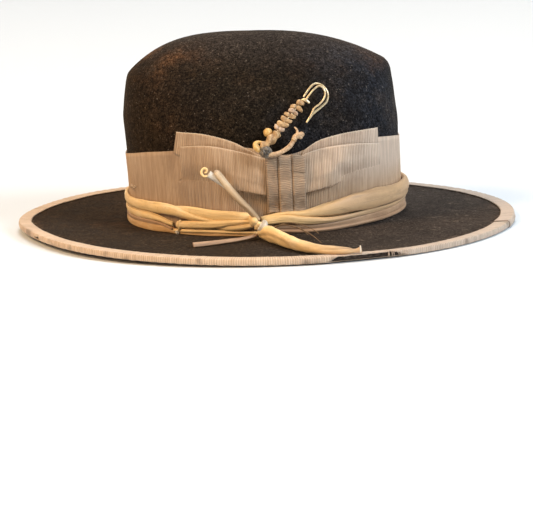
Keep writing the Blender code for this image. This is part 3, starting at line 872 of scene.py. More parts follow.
def fringe(name, edge, count, material, size=0.7, seed=3):
    """Short ends of thread along an edge."""
    rng = random.Random(seed)
    lines = []
    for step in range(count):
        t = (step + rng.uniform(0.2, 0.8)) / count
        start = Vector(edge(t))
        outward = Vector((start.x, start.y * 1.4, 0.0)).normalized()
        length = size * rng.uniform(0.3, 1.2)
        grow = Vector((rng.uniform(-0.5, 0.5), 0.0, 1.0)) + outward * 0.25
        lines.append([(start + grow * length * t + Vector((0.0, 0.0, -0.1)), 0.10 * (1 - 0.5 * t))
                      for t in (0.0, 0.5, 1.0)])
    lines_object(name, lines, 1, material, "hat", "ribbon")


def bow_loop(name, center, outer, top, foot, material, pale):
    """A loop of ribbon: out under, round a soft end, and back over to the bow's middle.

    Away from the middle it lies close on the band; its upper edge stands out a little, and by
    the middle it is gathered and stands well off.
    """
    width = abs(outer - center)
    direction = 1 if outer > center else -1
    turn_size = 0.75             # the radius of the soft end
    total = 2 * width + pi * turn_size
    columns = int(total / RIB_PITCH * RIB_STEPS)

    def point(run, share):
        if run < width:
            x = center + direction * run
            away = run / width
            lift = LOOP_LIFT - 1.0 * soft(0.5, 0.9, away)
        elif run < width + pi * turn_size:
            swing = (run - width) / turn_size
            x = outer + direction * turn_size * sin(swing)
            away = 1.0
            lift = LOOP_LIFT - 1.0 + turn_size * (1 - cos(swing))
        else:
            out = total - run
            x = center + direction * out
            away = out / width
            flat_end = soft(1.0, 0.55, away)
            puff = sin(pi * min(1.0, away * 0.95 + 0.08)) ** 0.7
            lift = LOOP_LIFT + 2 * turn_size + 0.7 * share * flat_end - 1.0 * soft(0.5, 0.9, away)
            lift += 2.6 * flat_end * puff * sin(pi * min(1.0, 0.12 + 0.83 * share)) ** 0.8
            lift += 1.9 * soft(0.50, 0.15, away) * soft(0.55, 0.0, share)
            gather = soft(26.0, 3.0, out)
            lift += 0.75 * gather * sin(share * 2 * pi * 2.3 + 0.8)
            lift += 0.55 * flat_end * rough(x * 0.08, share * 2.2, 0.0, 29)
            lift += 0.5 * flat_end * bell(share, 0.28 + 0.25 * away, 0.05) * soft(0.7, 0.2, away)
        pressed = soft(0.42, 0.58, away) * soft(0.60, 0.04, share)
        lift = lift * (1 - pressed) + 0.4 * pressed
        high, low = curve_at(top, x)[0], curve_at(foot, x)[0]
        rise = low + (high - low) * share
        return near_point(x, rise, lift + rib(run)), (run, rise)

    def wear_and_shade(run, share):
        return 0.35 * soft(9.0, 0.0, total - run) * soft(0.75, 0.2, share)

    def edge(t):
        return point(total - width * t, 1.0)[0]

    made = skin(name + "_ribbon", point, steps(0.0, total, columns), steps(0.0, 1.0, 24), material, "ribbon", name,
                wear_and_shade=wear_and_shade)
    fringe(name + "_ribbon_threads", edge, 120, pale, 0.45, 9)
    selvedge(name + "_ribbon_selvedge", edge, pale)


def make_center_wrap(material):
    """A short ribbon pleated three times and drawn over the bow's middle."""
    left, right = 1.4, 31.0
    edges = (0.0, 0.31, 0.65, 1.0)
    low, high = 19.0, 64.4

    def pleat(x):
        share = min(max((x - left) / (right - left), 0.0), 0.9999)
        which = 0 if share < edges[1] else 1 if share < edges[2] else 2
        return which, (share - edges[which]) / (edges[which + 1] - edges[which])

    def point(x, rise):
        which, part = pleat(x)
        level = (0.0, 0.9, 0.5)[which]
        hump = level + 1.3 * soft(0.0, 0.14, part) * (1 - 0.45 * part) - 0.8 * soft(0.90, 1.0, part)
        hump += 0.30 * rough(x * 0.22, rise * 0.06, 0.0, 37)
        top_slope = -3.2 * (x - left) / (right - left) + (0.0, 0.7, 0.9)[which]
        actual = rise + top_slope * soft(30.0, 66.0, rise) + 0.5 * sin(0.35 * (x - left))
        lift = 3.0 + 5.6 * soft(20.0, 36.0, rise) - 1.6 * soft(60.0, 66.0, rise)
        lift += hump + 0.13 * sin(2 * pi * (rise + 0.5 * sin(0.5 * x)) / 1.5)
        if which == 2:
            lift += 0.7 * soft(50.6, 51.2, rise)
        return near_point(x + 0.36 * soft(30.0, 60.0, rise) * (which - 1), actual, lift), (rise, x)

    def wear_and_shade(x, rise):
        which, part = pleat(x)
        seam = 0.30 * max(soft(0.08, 0.0, part), soft(0.94, 1.0, part))
        first = 0.16 * (which == 0)
        grey = 0.22 * soft(50.0, 52.0, rise) * (which == 2)
        return min(1.0, seam + first + grey + 0.2 * rough(x * 0.3, rise * 0.08, 0.0, 5) ** 2)

    made = skin("bow_middle_wrap", point, steps(left, right, 84), steps(low, high, 190), material, "ribbon",
                "bow_center_wrap", wear_and_shade=wear_and_shade)
    fringe("bow_wrap_threads", lambda t: point(left + (right - left) * t, high)[0], 70, material, 0.6, 5)


def make_bow(material, wrap_material, pale):
    flap("bow_flap_left", [(-64.5, 80.2), (-43.5, 79.0), (-23.0, 73.6), (-7.0, 65.0), (8.0, 58.0)],
         [(-64.5, 63.5), (-30.0, 50.0), (8.0, 40.0)], -3.4, material, pale)
    flap("bow_flap_right", [(28.0, 55.0), (30.0, 62.6), (36.0, 67.6), (44.0, 71.2), (60.0, 73.6), (75.0, 73.8),
                            (88.0, 73.2)],
         [(28.0, 42.0), (60.0, 52.0), (88.0, 56.0)], 0.4, material, pale)
    bow_loop("bow_loop_left", 6.0, -62.0, [(-66.0, 68.0), (-61.0, 69.2), (-40.0, 70.6), (-16.0, 66.0), (6.0, 59.0)],
             [(-66.0, 37.0), (-40.0, 37.6), (-21.0, 37.1), (6.0, 32.0)], material, pale)
    bow_loop("bow_loop_right", 24.0, 88.0, [(24.0, 58.0), (32.0, 62.4), (48.0, 65.4), (67.5, 65.2), (92.0, 60.6)],
             [(24.0, 32.4), (31.0, 33.1), (52.0, 36.1), (62.0, 38.0), (92.0, 40.0)], material, pale)
    make_center_wrap(wrap_material)


# ---------------------------------------------------------------- wound leather

def wound(name, node, right, round_back, left, material, seed, crease=0.10, count=330, seam=0.15):
    """Hide wound round the crown, in rows of (where, rise, lift, half height, half thickness).

    where is x on the bow side right of the knot, then an angle, then x left of the knot.
    """
    table = ([(near_angle(row[0]), *row[1:]) for row in right] + round_back
             + [(on_left(row[0]), *row[1:]) for row in left])
    verts, runs, wear_and_shade_values = [], [], []
    sides = 40
    first, final = table[0][0], table[-1][0]
    for index in range(count + 1):
        angle = first + (final - first) * index / count
        rise, lift, tall, thick = curve_at(table, angle)
        length = (angle - first) * CROWN_RADIUS
        for turn in circle(sides):
            fold = turn + 0.5 * (angle - first)
            ridge = (1 + crease * sin(2 * fold + seed)
                     + 0.13 * rough(length * 0.05, 1.3 * cos(turn), 1.3 * sin(turn), seed)
                     + 0.05 * rough(length * 0.35, 3.0 * cos(turn), 3.0 * sin(turn), seed + 4)
                     - seam * folds_at(fold, length, seed))
            out, up = thick * cos(turn) * ridge, tall * sin(turn) * ridge
            verts.append(wall_point(angle, settle(rise, angle) + up, lift + out))
            runs.append((length, turn * tall))
            wear_and_shade_values.append(limited((0.98 - ridge) * 2.0))
    faces = grid_faces(count, sides)
    for end, inward in ((0, 1.0), (count, -1.0)):
        angle = first + (final - first) * end / count
        rise, lift, tall, thick = curve_at(table, angle)
        ring = [end * sides + step for step in range(sides)]
        for shrink, depth in ((0.72, 0.4), (0.45, 1.6)):
            new = []
            for turn in circle(sides):
                new.append(len(verts))
                verts.append(wall_point(angle + inward * depth / CROWN_RADIUS,
                                        settle(rise, angle) + tall * shrink * sin(turn),
                                        lift + thick * shrink * cos(turn)))
                runs.append((0.0, turn * tall))
                wear_and_shade_values.append(1.3 - shrink)
            faces += ring_faces(ring, new, end == 0)
            ring = new
        faces.append(tuple(ring[::-1] if end == 0 else ring))
    mesh_object(name, verts, [face[::-1] for face in faces], runs, wear_and_shade_values, material, "hat", "tie_leather", node)


def make_ties(leather, pink, orange, thread):
    """The thong's turns. Right of the knot one runs on to the back, round the far side and to the front."""
    back, far, front = 0.0, pi / 2, pi
    wound("tie_roll_upper", "tie_upper_roll", [(-5.0, 15.6, 5.4, 1.2, 1.6), (14.0, 18.2, 4.4, 1.5, 1.8),
          (28.0, 16.8, 4.2, 2.8, 2.2), (48.0, 18.2, 4.0, 6.0, 2.6), (75.0, 20.4, 3.9, 7.8, 2.8),
          (99.0, 19.8, 4.4, 6.6, 2.8)], [(back + 0.2, 19.6, 4.4, 5.8, 2.8), (far, 19.0, 3.9, 5.2, 2.6),
          (front - 0.2, 19.2, 3.2, 4.4, 2.1)], [(-99.0, 19.4, 3.0, 4.1, 1.9), (-89.0, 20.2, 3.3, 4.3, 2.2),
          (-70.0, 20.0, 4.2, 4.4, 2.4), (-55.0, 16.4, 5.3, 2.8, 2.2), (-42.0, 13.8, 5.4, 1.6, 1.6),
          (-30.0, 12.8, 4.4, 1.0, 1.0)], leather, 1.3)
    wound("tie_strand_second", "tie_second_strand", [], [], [(-84.0, 18.0, 3.0, 2.0, 1.2),
          (-72.0, 19.6, 3.4, 3.2, 1.8), (-55.0, 19.8, 4.2, 4.1, 2.1), (-39.0, 18.0, 4.6, 4.0, 2.2),
          (-23.0, 17.2, 4.9, 3.7, 2.2), (-12.0, 16.4, 4.9, 3.2, 2.1), (-6.0, 15.6, 4.8, 2.4, 1.8)], leather,
          2.1, count=120, seam=0.07, crease=0.05)
    wound("tie_strand_middle", "tie_middle_strand", [(-4.0, 13.0, 7.8, 2.4, 2.2), (14.0, 14.4, 7.0, 2.9, 2.3),
          (28.0, 11.8, 6.2, 2.7, 2.1), (48.0, 10.2, 5.7, 1.8, 1.7), (75.0, 11.4, 5.0, 1.5, 1.4),
          (99.0, 11.4, 3.8, 1.3, 1.2)], [(back + 0.2, 11.4, 3.6, 1.8, 1.4), (far, 12.0, 4.4, 2.4, 1.8),
          (front - 0.2, 12.4, 3.0, 2.9, 1.5)], [(-99.0, 12.4, 2.8, 3.2, 1.5), (-89.0, 13.0, 3.1, 3.1, 1.7),
          (-80.0, 12.2, 3.8, 2.3, 1.6), (-69.0, 9.2, 4.8, 1.5, 1.2)], leather, 3.7)
    wound("tie_run_to_knot", None, [], [], [(-66.0, 9.4, 5.2, 2.4, 2.2), (-58.0, 10.0, 5.4, 2.8, 2.5),
          (-40.0, 11.0, 5.8, 2.9, 2.6), (-23.0, 12.6, 6.0, 2.2, 2.3), (-9.0, 13.2, 5.7, 1.9, 1.8)], leather,
          4.4, count=90, seam=0.03, crease=0.04)
    wound("tie_run_second_lobe", None, [], [], [(-37.0, 8.2, 4.4, 1.0, 1.1), (-28.0, 8.4, 5.6, 2.0, 2.0),
          (-18.0, 9.0, 6.2, 2.1, 2.2), (-8.0, 10.6, 6.2, 1.6, 1.7)], leather, 5.2, count=60, seam=0.03, crease=0.04)
    wound("tie_roll_lower", "tie_lower_roll", [(3.0, 6.8, 3.9, 2.5, 1.8), (20.0, 5.6, 3.8, 3.6, 2.0),
          (48.0, 5.4, 3.6, 3.8, 2.1), (75.0, 6.6, 3.2, 4.2, 2.0), (99.0, 6.2, 2.6, 4.2, 1.7)],
          [(back + 0.2, 6.0, 2.6, 4.2, 1.7), (far, 5.6, 3.6, 4.4, 2.2)], [], pink, 4.9, count=240, seam=0.26)
    wound("tie_roll_lower_front", None, [], [(far - 0.05, 5.6, 3.6, 4.3, 2.2), (front - 0.2, 4.0, 2.8, 3.4, 1.8)],
          [(-99.0, 3.8, 2.8, 3.4, 1.7), (-89.0, 4.4, 3.1, 3.6, 1.9), (-75.0, 4.8, 3.6, 2.8, 1.9),
          (-66.0, 3.4, 3.7, 1.9, 1.7), (-50.0, 3.2, 3.8, 1.9, 1.7), (-28.0, 3.0, 4.0, 2.1, 1.8),
          (-8.0, 3.4, 4.2, 2.0, 1.7)], orange, 7.3, count=240)
    wound("tie_strand_thin", "tie_thin_strand", [(6.0, 5.2, 4.8, 1.0, 1.0), (26.0, 3.6, 5.3, 1.3, 1.1),
          (48.0, 3.2, 5.4, 1.3, 1.0), (75.0, 4.0, 4.8, 1.4, 1.0), (99.0, 4.0, 3.8, 1.4, 1.0)],
          [(back + 0.2, 4.0, 3.8, 1.5, 1.0), (far, 3.8, 4.6, 1.5, 1.1), (front - 0.2, 7.2, 3.4, 1.6, 1.0)],
          [(-99.0, 8.0, 3.2, 1.6, 1.0), (-88.0, 8.4, 3.6, 1.6, 1.0), (-77.0, 7.6, 4.1, 1.2, 1.0),
          (-70.0, 5.2, 4.6, 1.0, 1.0)], pink, 6.1)
    wound("tie_run_to_strip", None, [], [], [(-68.6, 4.6, 4.9, 1.2, 1.0), (-58.0, 5.2, 5.0, 1.6, 1.2),
          (-39.0, 5.6, 5.1, 1.4, 1.1), (-18.0, 4.8, 5.4, 1.1, 1.0), (-7.0, 4.4, 5.4, 1.0, 0.9)], leather,
          8.2, count=90)
    eyelet = [near_point(x, rise, lift) for x, rise, lift in (
        (-65.4, 12.6, 5.8), (-66.8, 11.8, 6.6), (-67.6, 9.4, 6.9), (-67.4, 7.0, 6.8), (-67.8, 4.6, 6.0))]
    thong("tie_eyelet", smooth_path(eyelet, 6), [0.9, 1.1, 0.9, 0.9, 0.8], [0.8, 0.9, 0.8, 0.8, 0.7], leather,
          "tie_leather", crease=0.08, seed=3.3)
    thread_ball("tie_thread_knot", near_point(-69.0, 3.7, 6.2), 1.5, 0.24, thread, "hat")


def make_knot(leather, pale):
    """The thong crosses over itself and is drawn tight."""
    over = smooth_path([(-11.6, -91.8, 14.4), (-11.0, -96.6, 14.2), (-9.6, -99.8, 13.0), (-8.0, -100.0, 11.6),
                        (-6.2, -100.4, 10.0), (-5.2, -97.0, 8.6), (-5.0, -92.0, 8.4)], 7)
    thong("knot_over", over, [2.0, 3.1, 3.5, 2.5, 3.4, 2.6, 1.8], [1.6, 2.5, 2.9, 2.2, 2.9, 2.2, 1.5], leather,
          "tie_leather", "tie_knot_left_lobe", crease=0.14, seed=2.2, sides=28, up=(0.5, 0, 0.8), twist=1.8)
    under = smooth_path([(-2.6, -96.0, 12.6), (-2.2, -101.2, 11.8), (-2.8, -104.4, 10.2), (-4.2, -104.2, 8.4),
                         (-6.0, -100.0, 6.8)], 7)
    thong("knot_under", under, [1.5, 2.6, 3.0, 2.6, 1.5], [1.3, 2.1, 2.4, 2.1, 1.3], pale, "tie_leather",
          "tie_knot_right_lobe", crease=0.12, seed=5.2, sides=26, up=(0.8, 0, 0.6), twist=0.9)


def free_end(name, points, parts, tall, thick, material, slot, node, diameter, stiffness, **shape):
    """An end of the thong that hangs free: it leaves the knot at its first point."""
    path = smooth_path(points, parts)
    made = thong(name, path, tall, thick, material, slot, node, **shape)
    length = sum((b - a).length for a, b in zip(path, path[1:])) * MM
    tuple(place(path[0]))
    [tuple(place(p)) for p in path]


def make_tails(leather, tan, pale, pink, thread):
    free_end("tail_upper", [(-6.6, -96.6, 14.2), (-11.8, -100.4, 21.4), (-23.4, -102.2, 34.6),
                            (-36.0, -99.2, 50.8)],
             9, [2.2, 2.8, 3.2, 3.1], [1.9, 2.1, 2.4, 2.3], tan, "tie_leather", "tie_tail_upper", 0.0050, "stiff",
             crease=0.12, seed=1.9, sides=26, up=(0.5, 0.6, 0.6), crumple=0.03, hollow=-0.5)
    free_end("tail_upper_second", [(-13.2, -95.0, 21.6), (-22.0, -96.6, 31.6), (-29.2, -97.2, 39.4),
                                   (-35.8, -97.8, 45.0), (-41.8, -97.8, 49.4)],
             8, [1.5, 1.8, 2.0, 2.5, 3.3], [1.3, 1.6, 1.8, 2.2, 2.8], pale, "tie_leather", "tie_tail_upper_second",
             0.0050, "stiff", crease=0.11, seed=7.9, sides=26, up=(0.5, 0.6, 0.6), crumple=0.03, hollow=1.1)
    rim = smooth_path([(-42.8, -100.4, 48.6), (-45.0, -100.8, 48.4), (-46.9, -100.4, 50.0), (-47.0, -99.8, 52.4),
                       (-45.4, -99.4, 54.0), (-43.4, -99.2, 53.4), (-43.6, -99.4, 51.4), (-45.0, -99.8, 51.0)], 6)
    thong("tail_upper_curled_rim", rim, [0.9, 1.2, 1.3, 1.2, 1.2, 1.0, 0.8], [0.8, 1.0, 1.1, 1.0, 1.0, 0.8, 0.6],
          leather, "tie_leather", seed=4.7, sides=16, up=(0, 1, 0))
    free_end("tail_lower", [(-4.6, -99.6, 4.6), (0.6, -106.0, 5.2), (9.8, -122.5, 4.6), (23.0, -142.0, 2.8),
                            (38.0, -153.5, 1.6), (51.0, -158.0, 1.2), (58.0, -159.0, 1.0), (63.0, -159.0, 0.8),
                            (68.0, -158.5, 1.6)],
             7, [3.6, 5.9, 5.2, 4.1, 3.5, 3.1, 2.6, 1.7, 2.7], [3.4, 4.9, 4.7, 3.8, 3.1, 2.8, 2.3, 1.5, 1.7],
             leather, "tie_leather", "tie_tail_lower", 0.0076, "medium", crease=0.075, seed=3.1, sides=34,
             body="lower_tail", twist=1.6)
    cuff = [(67.4, -158.6 + 1.7 * cos(turn), 1.9 + 2.2 * sin(turn)) for turn in steps(0.0, 1.75 * pi, 7)]
    wire("tail_lower_cuff", cuff, 0.55, pale, "tie_leather", body="lower_tail")
    free_end("tail_strip", [(-6.4, -99.0, 4.0), (-10.0, -104.0, 3.2), (-20.0, -110.0, 2.4), (-33.0, -115.0, 1.9),
                            (-45.0, -119.4, 1.6), (-54.4, -123.0, 1.6)],
             8, [0.8, 1.1, 1.3, 1.5, 1.7, 1.8], [0.6, 0.65, 0.65, 0.65, 0.65, 0.6], pink, "strip_leather",
             "strip_tail", 0.0034, "limp", crease=0.05, seed=9.1, sides=24, body="strip_tail", crumple=0.03,
             hollow=0.1, up=(0.0, 0.72, 0.69))
    for index, line in enumerate((
            [(4.4, -106.4, 8.8), (11.0, -108.4, 12.0), (23.0, -117.0, 11.0), (33.0, -127.0, 7.0),
             (39.5, -133.0, 2.4)],
            [(3.6, -105.2, 9.0), (16.0, -107.2, 13.0), (30.0, -112.0, 10.5), (38.0, -117.0, 6.4)],
            [(4.0, -105.6, 8.8), (13.0, -106.4, 11.4), (24.0, -108.0, 8.6), (30.0, -110.4, 4.4)])):
        wire(f"knot_thread_{index + 1}", line, 0.36, thread, "thread" if index == 0 else "tie_leather",
             body="lower_tail", taper=[1.3, 1.0, 0.9, 0.6])


# ---------------------------------------------------------------- charm

def blob(name, center, radii, material, slot, node=None, axis=(0, 0, 1), seed=1, body="charm"):
    """A turned bead: a sphere with a little roughness."""
    turn = Vector(axis).to_track_quat("Z", "Y")
    rows, columns = 20, 28
    verts, wear_and_shade_values, runs = [], [], []
    for tilt in steps(0.0, pi, rows):
        for spin in circle(columns):
            size = 1.0 + 0.04 * rough(3 * sin(tilt) * cos(spin), 3 * sin(tilt) * sin(spin), 3 * cos(tilt), seed)
            spot = Vector((radii[0] * sin(tilt) * cos(spin), radii[1] * sin(tilt) * sin(spin),
                           radii[2] * cos(tilt))) * size
            verts.append(tuple(Vector(center) + turn @ spot))
            runs.append((spin * radii[0], tilt * radii[2]))
            wear_and_shade_values.append(limited((1.0 - size) * 4))
    faces = [face[::-1] for face in grid_faces(rows, columns)]
    weld_poles(mesh_object(name, verts, faces, runs, wear_and_shade_values, material, body, slot, node))


CHARM_FOOT, CHARM_TIP = 65.7, 0.22


def tipped(points):
    """The charm's points, tipped back to lie along the rounding crown."""
    settled = [(0.97 * x, y, 0.97 * z - 1.3) for x, y, z in points]
    return [Vector((x, y + CHARM_TIP * (z - CHARM_FOOT), z - 0.2 * CHARM_TIP * (z - CHARM_FOOT)))
            for x, y, z in settled]


def make_charm(wood, yellow, pinkish, gilt, thread, twig):
    first, last = tipped([(11.4, -94.8, 85.4), (28.2, -89.2, 104.2)])
    along = (last - first).normalized()
    wire("charm_core", [first - along * 6.0, first, (first + last) / 2, last, last + along * 3.4], 0.6, gilt,
         "wire", "charm_core_wire", body="charm")
    across = Vector((0.94, -0.10, -0.33)).normalized()
    face = along.cross(across).normalized()
    turn = Matrix((across, face, across.cross(face))).transposed().to_quaternion()
    for index in range(len(BEAD_REACH)):
        paired_bead(index, first + (last - first) * index / (len(BEAD_REACH) - 1), turn,
                    pinkish if index in PINKISH_BEADS else wood)
    blob("charm_yellow_bead", tipped([(2.8, -92.8, 82.4)])[0], (3.45, 3.45, 3.35), yellow, "bead",
         "charm_round_bead", seed=2)
    stem = smooth_path([(-3.2, -97.6, 72.0), (0.6, -97.2, 73.6), (4.8, -96.4, 77.0), (8.6, -95.4, 80.4),
                        (10.6, -95.0, 82.6)], 12)
    thong("charm_twisted_stem", tipped(stem), [1.4, 3.3, 2.7, 3.5, 2.8, 3.4, 1.8],
          [1.4, 3.0, 2.5, 3.2, 2.6, 3.1, 1.7], wood, "bead", "charm_base_winding", sides=36, crease=0.15, seed=2.6,
          twist=7.5, body="charm", hollow=-0.4, crumple=0.07, folded=0.22)
    thread_ball("charm_bound_knot", tipped([(0.6, -97.6, 68.4)])[0], 4.3, 0.62, thread, "charm",
                "charm_thread_knot")
    claw = smooth_path([(0.6, -97.0, 74.0), (-2.0, -97.4, 75.6), (-4.6, -97.6, 76.0), (-6.7, -97.8, 74.8),
                        (-6.6, -98.0, 72.6), (-5.2, -98.0, 70.6), (-3.4, -97.8, 68.8)], 6)
    thong("charm_claw", tipped(claw), [0.8, 0.9, 1.2, 1.9, 2.3, 2.2, 1.2], [0.8, 0.8, 1.1, 1.7, 2.0, 1.9, 1.1],
          yellow, "tie_leather", "charm_leather_loop", crease=0.03, seed=4, body="charm", hollow=-0.5, crumple=0.02)
    make_hook(gilt)
    stick = smooth_path([(3.0, -98.4, 66.2), (8.0, -98.2, 66.4), (13.0, -97.2, 68.0), (18.4, -96.0, 71.2),
                         (21.4, -95.0, 74.8), (23.0, -94.6, 78.0)], 6)
    thong("charm_stick", tipped(stick), [1.5, 1.7, 1.6, 1.7, 1.6, 1.9], [1.4, 1.5, 1.5, 1.6, 1.5, 1.8], twig,
          "twig", "charm_twig", crease=0.07, seed=6, body="charm", hollow=-0.4, crumple=0.03)
    for name, spot, radii, axis, seed, material in (
            ("head_1", (25.0, -93.8, 79.4), (2.5, 2.2, 4.0), (0.9, 0.0, 0.4), 8, twig),
            ("head_2", (28.2, -93.4, 80.4), (2.1, 2.0, 2.2), (1.0, 0.0, 0.2), 9, twig),
            ("head_3", (27.4, -93.6, 78.2), (1.5, 1.4, 1.6), (1.0, 0.0, -0.6), 10, twig),
            ("joint", (22.4, -94.8, 76.6), (2.2, 2.1, 1.0), (0.55, 0, 0.8), 4, wood)):
        blob("charm_stick_" + name, tipped([spot])[0], radii, material, "twig", axis=axis, seed=seed)
    fork = tipped([(25.0, -93.6, 80.4), (25.2, -93.2, 82.4), (24.6, -92.6, 84.4), (23.0, -92.2, 86.0)])
    wire("charm_stick_fork", fork, 0.85, twig, "twig", "charm_twig_fork", body="charm",
         taper=[1.6, 1.2, 0.9, 0.45])


# The beads from the lowest up, half sizes in millimetres; the waist is how deep each is pinched.
PINKISH_BEADS = (0, 4)
BEAD_REACH = (4.0, 4.3, 4.3, 4.4, 3.8, 4.7, 2.9)
BEAD_GIRTH = (1.95, 2.3, 2.05, 2.0, 1.9, 2.1, 2.2)
BEAD_WAIST = (0.26, 0.10, 0.14, 0.30, 0.18, 0.30, 0.0)


def paired_bead(index, center, turn, material):
    """A rough lump, pinched in the middle into two unequal lobes that lie across the wire."""
    rng = random.Random(40 + index)
    rows, columns = 24, 32
    verts, wear_and_shade_values, runs = [], [], []
    left, right = rng.uniform(0.98, 1.14), rng.uniform(0.76, 0.94)
    pinch = rng.uniform(-0.6, 0.9)
    cant, bend = rng.uniform(-0.20, 0.14), rng.uniform(-0.07, 0.07)
    reach, girth = BEAD_REACH[index], BEAD_GIRTH[index]
    for tilt in steps(0.0, pi, rows):
        across = -reach * cos(tilt)
        lobe = left + (right - left) * soft(-0.3 * reach, 0.5 * reach, across)
        waist = 1.0 - BEAD_WAIST[index] * bell(across, pinch, 0.17 * reach)
        for spin in circle(columns):
            lump = (1 + 0.30 * rough(across * 0.38, 1.2 * cos(spin), 1.2 * sin(spin), index + 1)
                    + 0.13 * rough(across * 0.9, 2.8 * cos(spin), 2.8 * sin(spin), index + 7))
            ring = sqrt(max(0.0, sin(tilt))) * waist * lump * lobe
            verts.append(tuple(center + turn @ Vector((
                across * (0.94 + 0.10 * lump), girth * ring * cos(spin) * 0.9,
                girth * ring * sin(spin) + cant * across + bend * across * across))))
            runs.append((across, spin * girth))
            wear_and_shade_values.append(min(1.0, BEAD_WAIST[index] * 2.0 * bell(across, pinch, 0.10 * reach)
                             + max(0.0, 1.0 - lump) * 1.6))
    weld_poles(mesh_object(f"charm_pair_{index + 1}", verts, grid_faces(rows, columns), runs, wear_and_shade_values, material,
                           "charm", "bead", f"charm_bead_{index + 1}"))


def thread_ball(name, center, radius, thick, material, body, node=None):
    """Thread wound in every direction."""
    rng = random.Random(3)
    lines = []
    for _ in range(16):
        pole = Vector((rng.uniform(-1, 1), rng.uniform(-1, 1), rng.uniform(-1, 1))).normalized()
        first = pole.orthogonal().normalized()
        second = pole.cross(first)
        size = radius * rng.uniform(0.80, 1.0)
        line = []
        for angle in circle(32):
            offset = first * cos(angle) + second * sin(angle) + pole * 0.25 * sin(2 * angle)
            offset.y *= 0.8
            line.append((Vector(center) + offset * size, thick))
        lines.append(line)
    made = lines_object(name, lines, 2, material, body, "thread", node)
    for line in made.data.splines:
        line.use_cyclic_u = True
    blob(name + "_heart", center, (radius * 0.82, radius * 0.66, radius * 0.82), material, "thread", seed=5,
         body=body)


def make_hook(gilt):
    """Two wires bent together into a hook that comes back on itself, and its crimp."""
    for name, node, radius, points, taper in (
            ("charm_hook_wire", "charm_hook_outer", 0.80,
             [(30.6, -87.4, 108.2), (33.6, -86.6, 112.6), (37.4, -86.0, 117.0), (41.2, -85.6, 118.2),
              (45.8, -85.2, 116.2), (49.2, -85.0, 110.6), (48.2, -85.2, 104.2), (43.2, -85.8, 99.4),
              (37.6, -86.6, 95.2), (35.2, -87.0, 92.4), (32.4, -87.4, 88.4)],
             [0.9, 1.0, 1.0, 1.0, 1.0, 1.05, 1.15, 1.2, 1.25, 1.2, 0.9]),
            ("charm_hook_wire_inner", "charm_hook_inner", 0.72,
             [(32.6, -88.4, 106.4), (35.4, -88.2, 110.4), (38.8, -87.8, 114.2), (42.8, -87.2, 116.6),
              (46.0, -87.0, 114.6), (47.2, -87.2, 110.4), (46.0, -87.4, 106.4), (42.6, -88.0, 102.6),
              (38.6, -88.4, 99.6), (36.4, -88.6, 95.4), (34.8, -88.4, 92.0)], [1.0, 1.0]),
            ("charm_wire_end", None, 0.9,
             [(29.0, -89.2, 106.4), (31.6, -89.8, 106.6), (33.4, -90.0, 105.4), (35.0, -89.8, 103.8)],
             [0.8, 1.5, 1.3, 0.9])):
        wire(name, tipped(points), radius, gilt, "wire", node, body="charm", taper=taper)


# ---------------------------------------------------------------- inside

def make_inside(leather, satin, reed_ribbon):
    """Sweatband with its reed and seam tab, and the lining."""
    deep = -(FELT + 0.3)
    ring = circle(360)
    tab = 0.131                  # half the seam tab's angle

    def band_point(angle, rise):
        wave = 0.4 * ring_noise(angle, 4, rise * 0.04, 51) * soft(10.0, 40.0, rise)
        return wall_point(angle, rise, deep - 0.55 - wave), (angle * INNER_RADIUS, rise)

    skin("sweatband_hide", band_point, ring, steps(2.2, 45.0, 16), leather, "sweatband_leather", "sweatband",
         closed=True, thickness=0.9, wear_and_shade=lambda a, r: 0.35 * soft(8.0, 2.0, r))
    reed = [wall_point(angle, 1.0, deep - 0.7) for angle in circle(180)]
    wire("sweatband_piping", reed + [reed[0]], 0.9, reed_ribbon, "reed_cord", "sweatband_reed", parts=1)

    def tab_point(angle, rise):
        swell = 0.4 * sin((angle + tab) / (2 * tab) * pi)
        return wall_point(angle, rise, deep - 1.7 - swell), (rise, angle * INNER_RADIUS)

    skin("sweatband_tab", tab_point, steps(-tab, tab, 24), steps(7.6, 16.4, 10), reed_ribbon, "reed_cord",
         "sweatband_seam_tab")

    def side_point(angle, rise):
        pleat = 0.14 * sin(40 * angle) * soft(60.0, 105.0, rise)
        return wall_point(angle, rise, deep - 0.5 + pleat), (angle * INNER_RADIUS, rise)

    made = skin("lining_sides", side_point, ring, steps(46.0, 108.5, 16), satin, "lining_satin", "lining_side",
                closed=True, thickness=0.35)

    def tip_point(angle, inset):
        return dome_point(angle, inset, deep - 1.1), (angle * 60.0, inset * 60.0)

    made = skin("lining_crown", tip_point, circle(120), [0.94, 0.86, 0.78, 0.68, 0.56, 0.44, 0.32, 0.2, 0.1], satin,
                "lining_satin", "lining_tip", closed=True, thickness=0.35, tip=tip_point(0.0, 0.0))


# ---------------------------------------------------------------- studio

VIEW_ELEVATION = radians(11.2)
VIEW_ROLL = radians(1.6)
VIEW_DISTANCE = 3.2
PICTURE_SPAN = 0.406679         # the width the frame covers at the hat, in metres
HAT_RAISED = 0.0371581          # how far above the middle of the frame the crown's foot is
SENSOR = 36.0


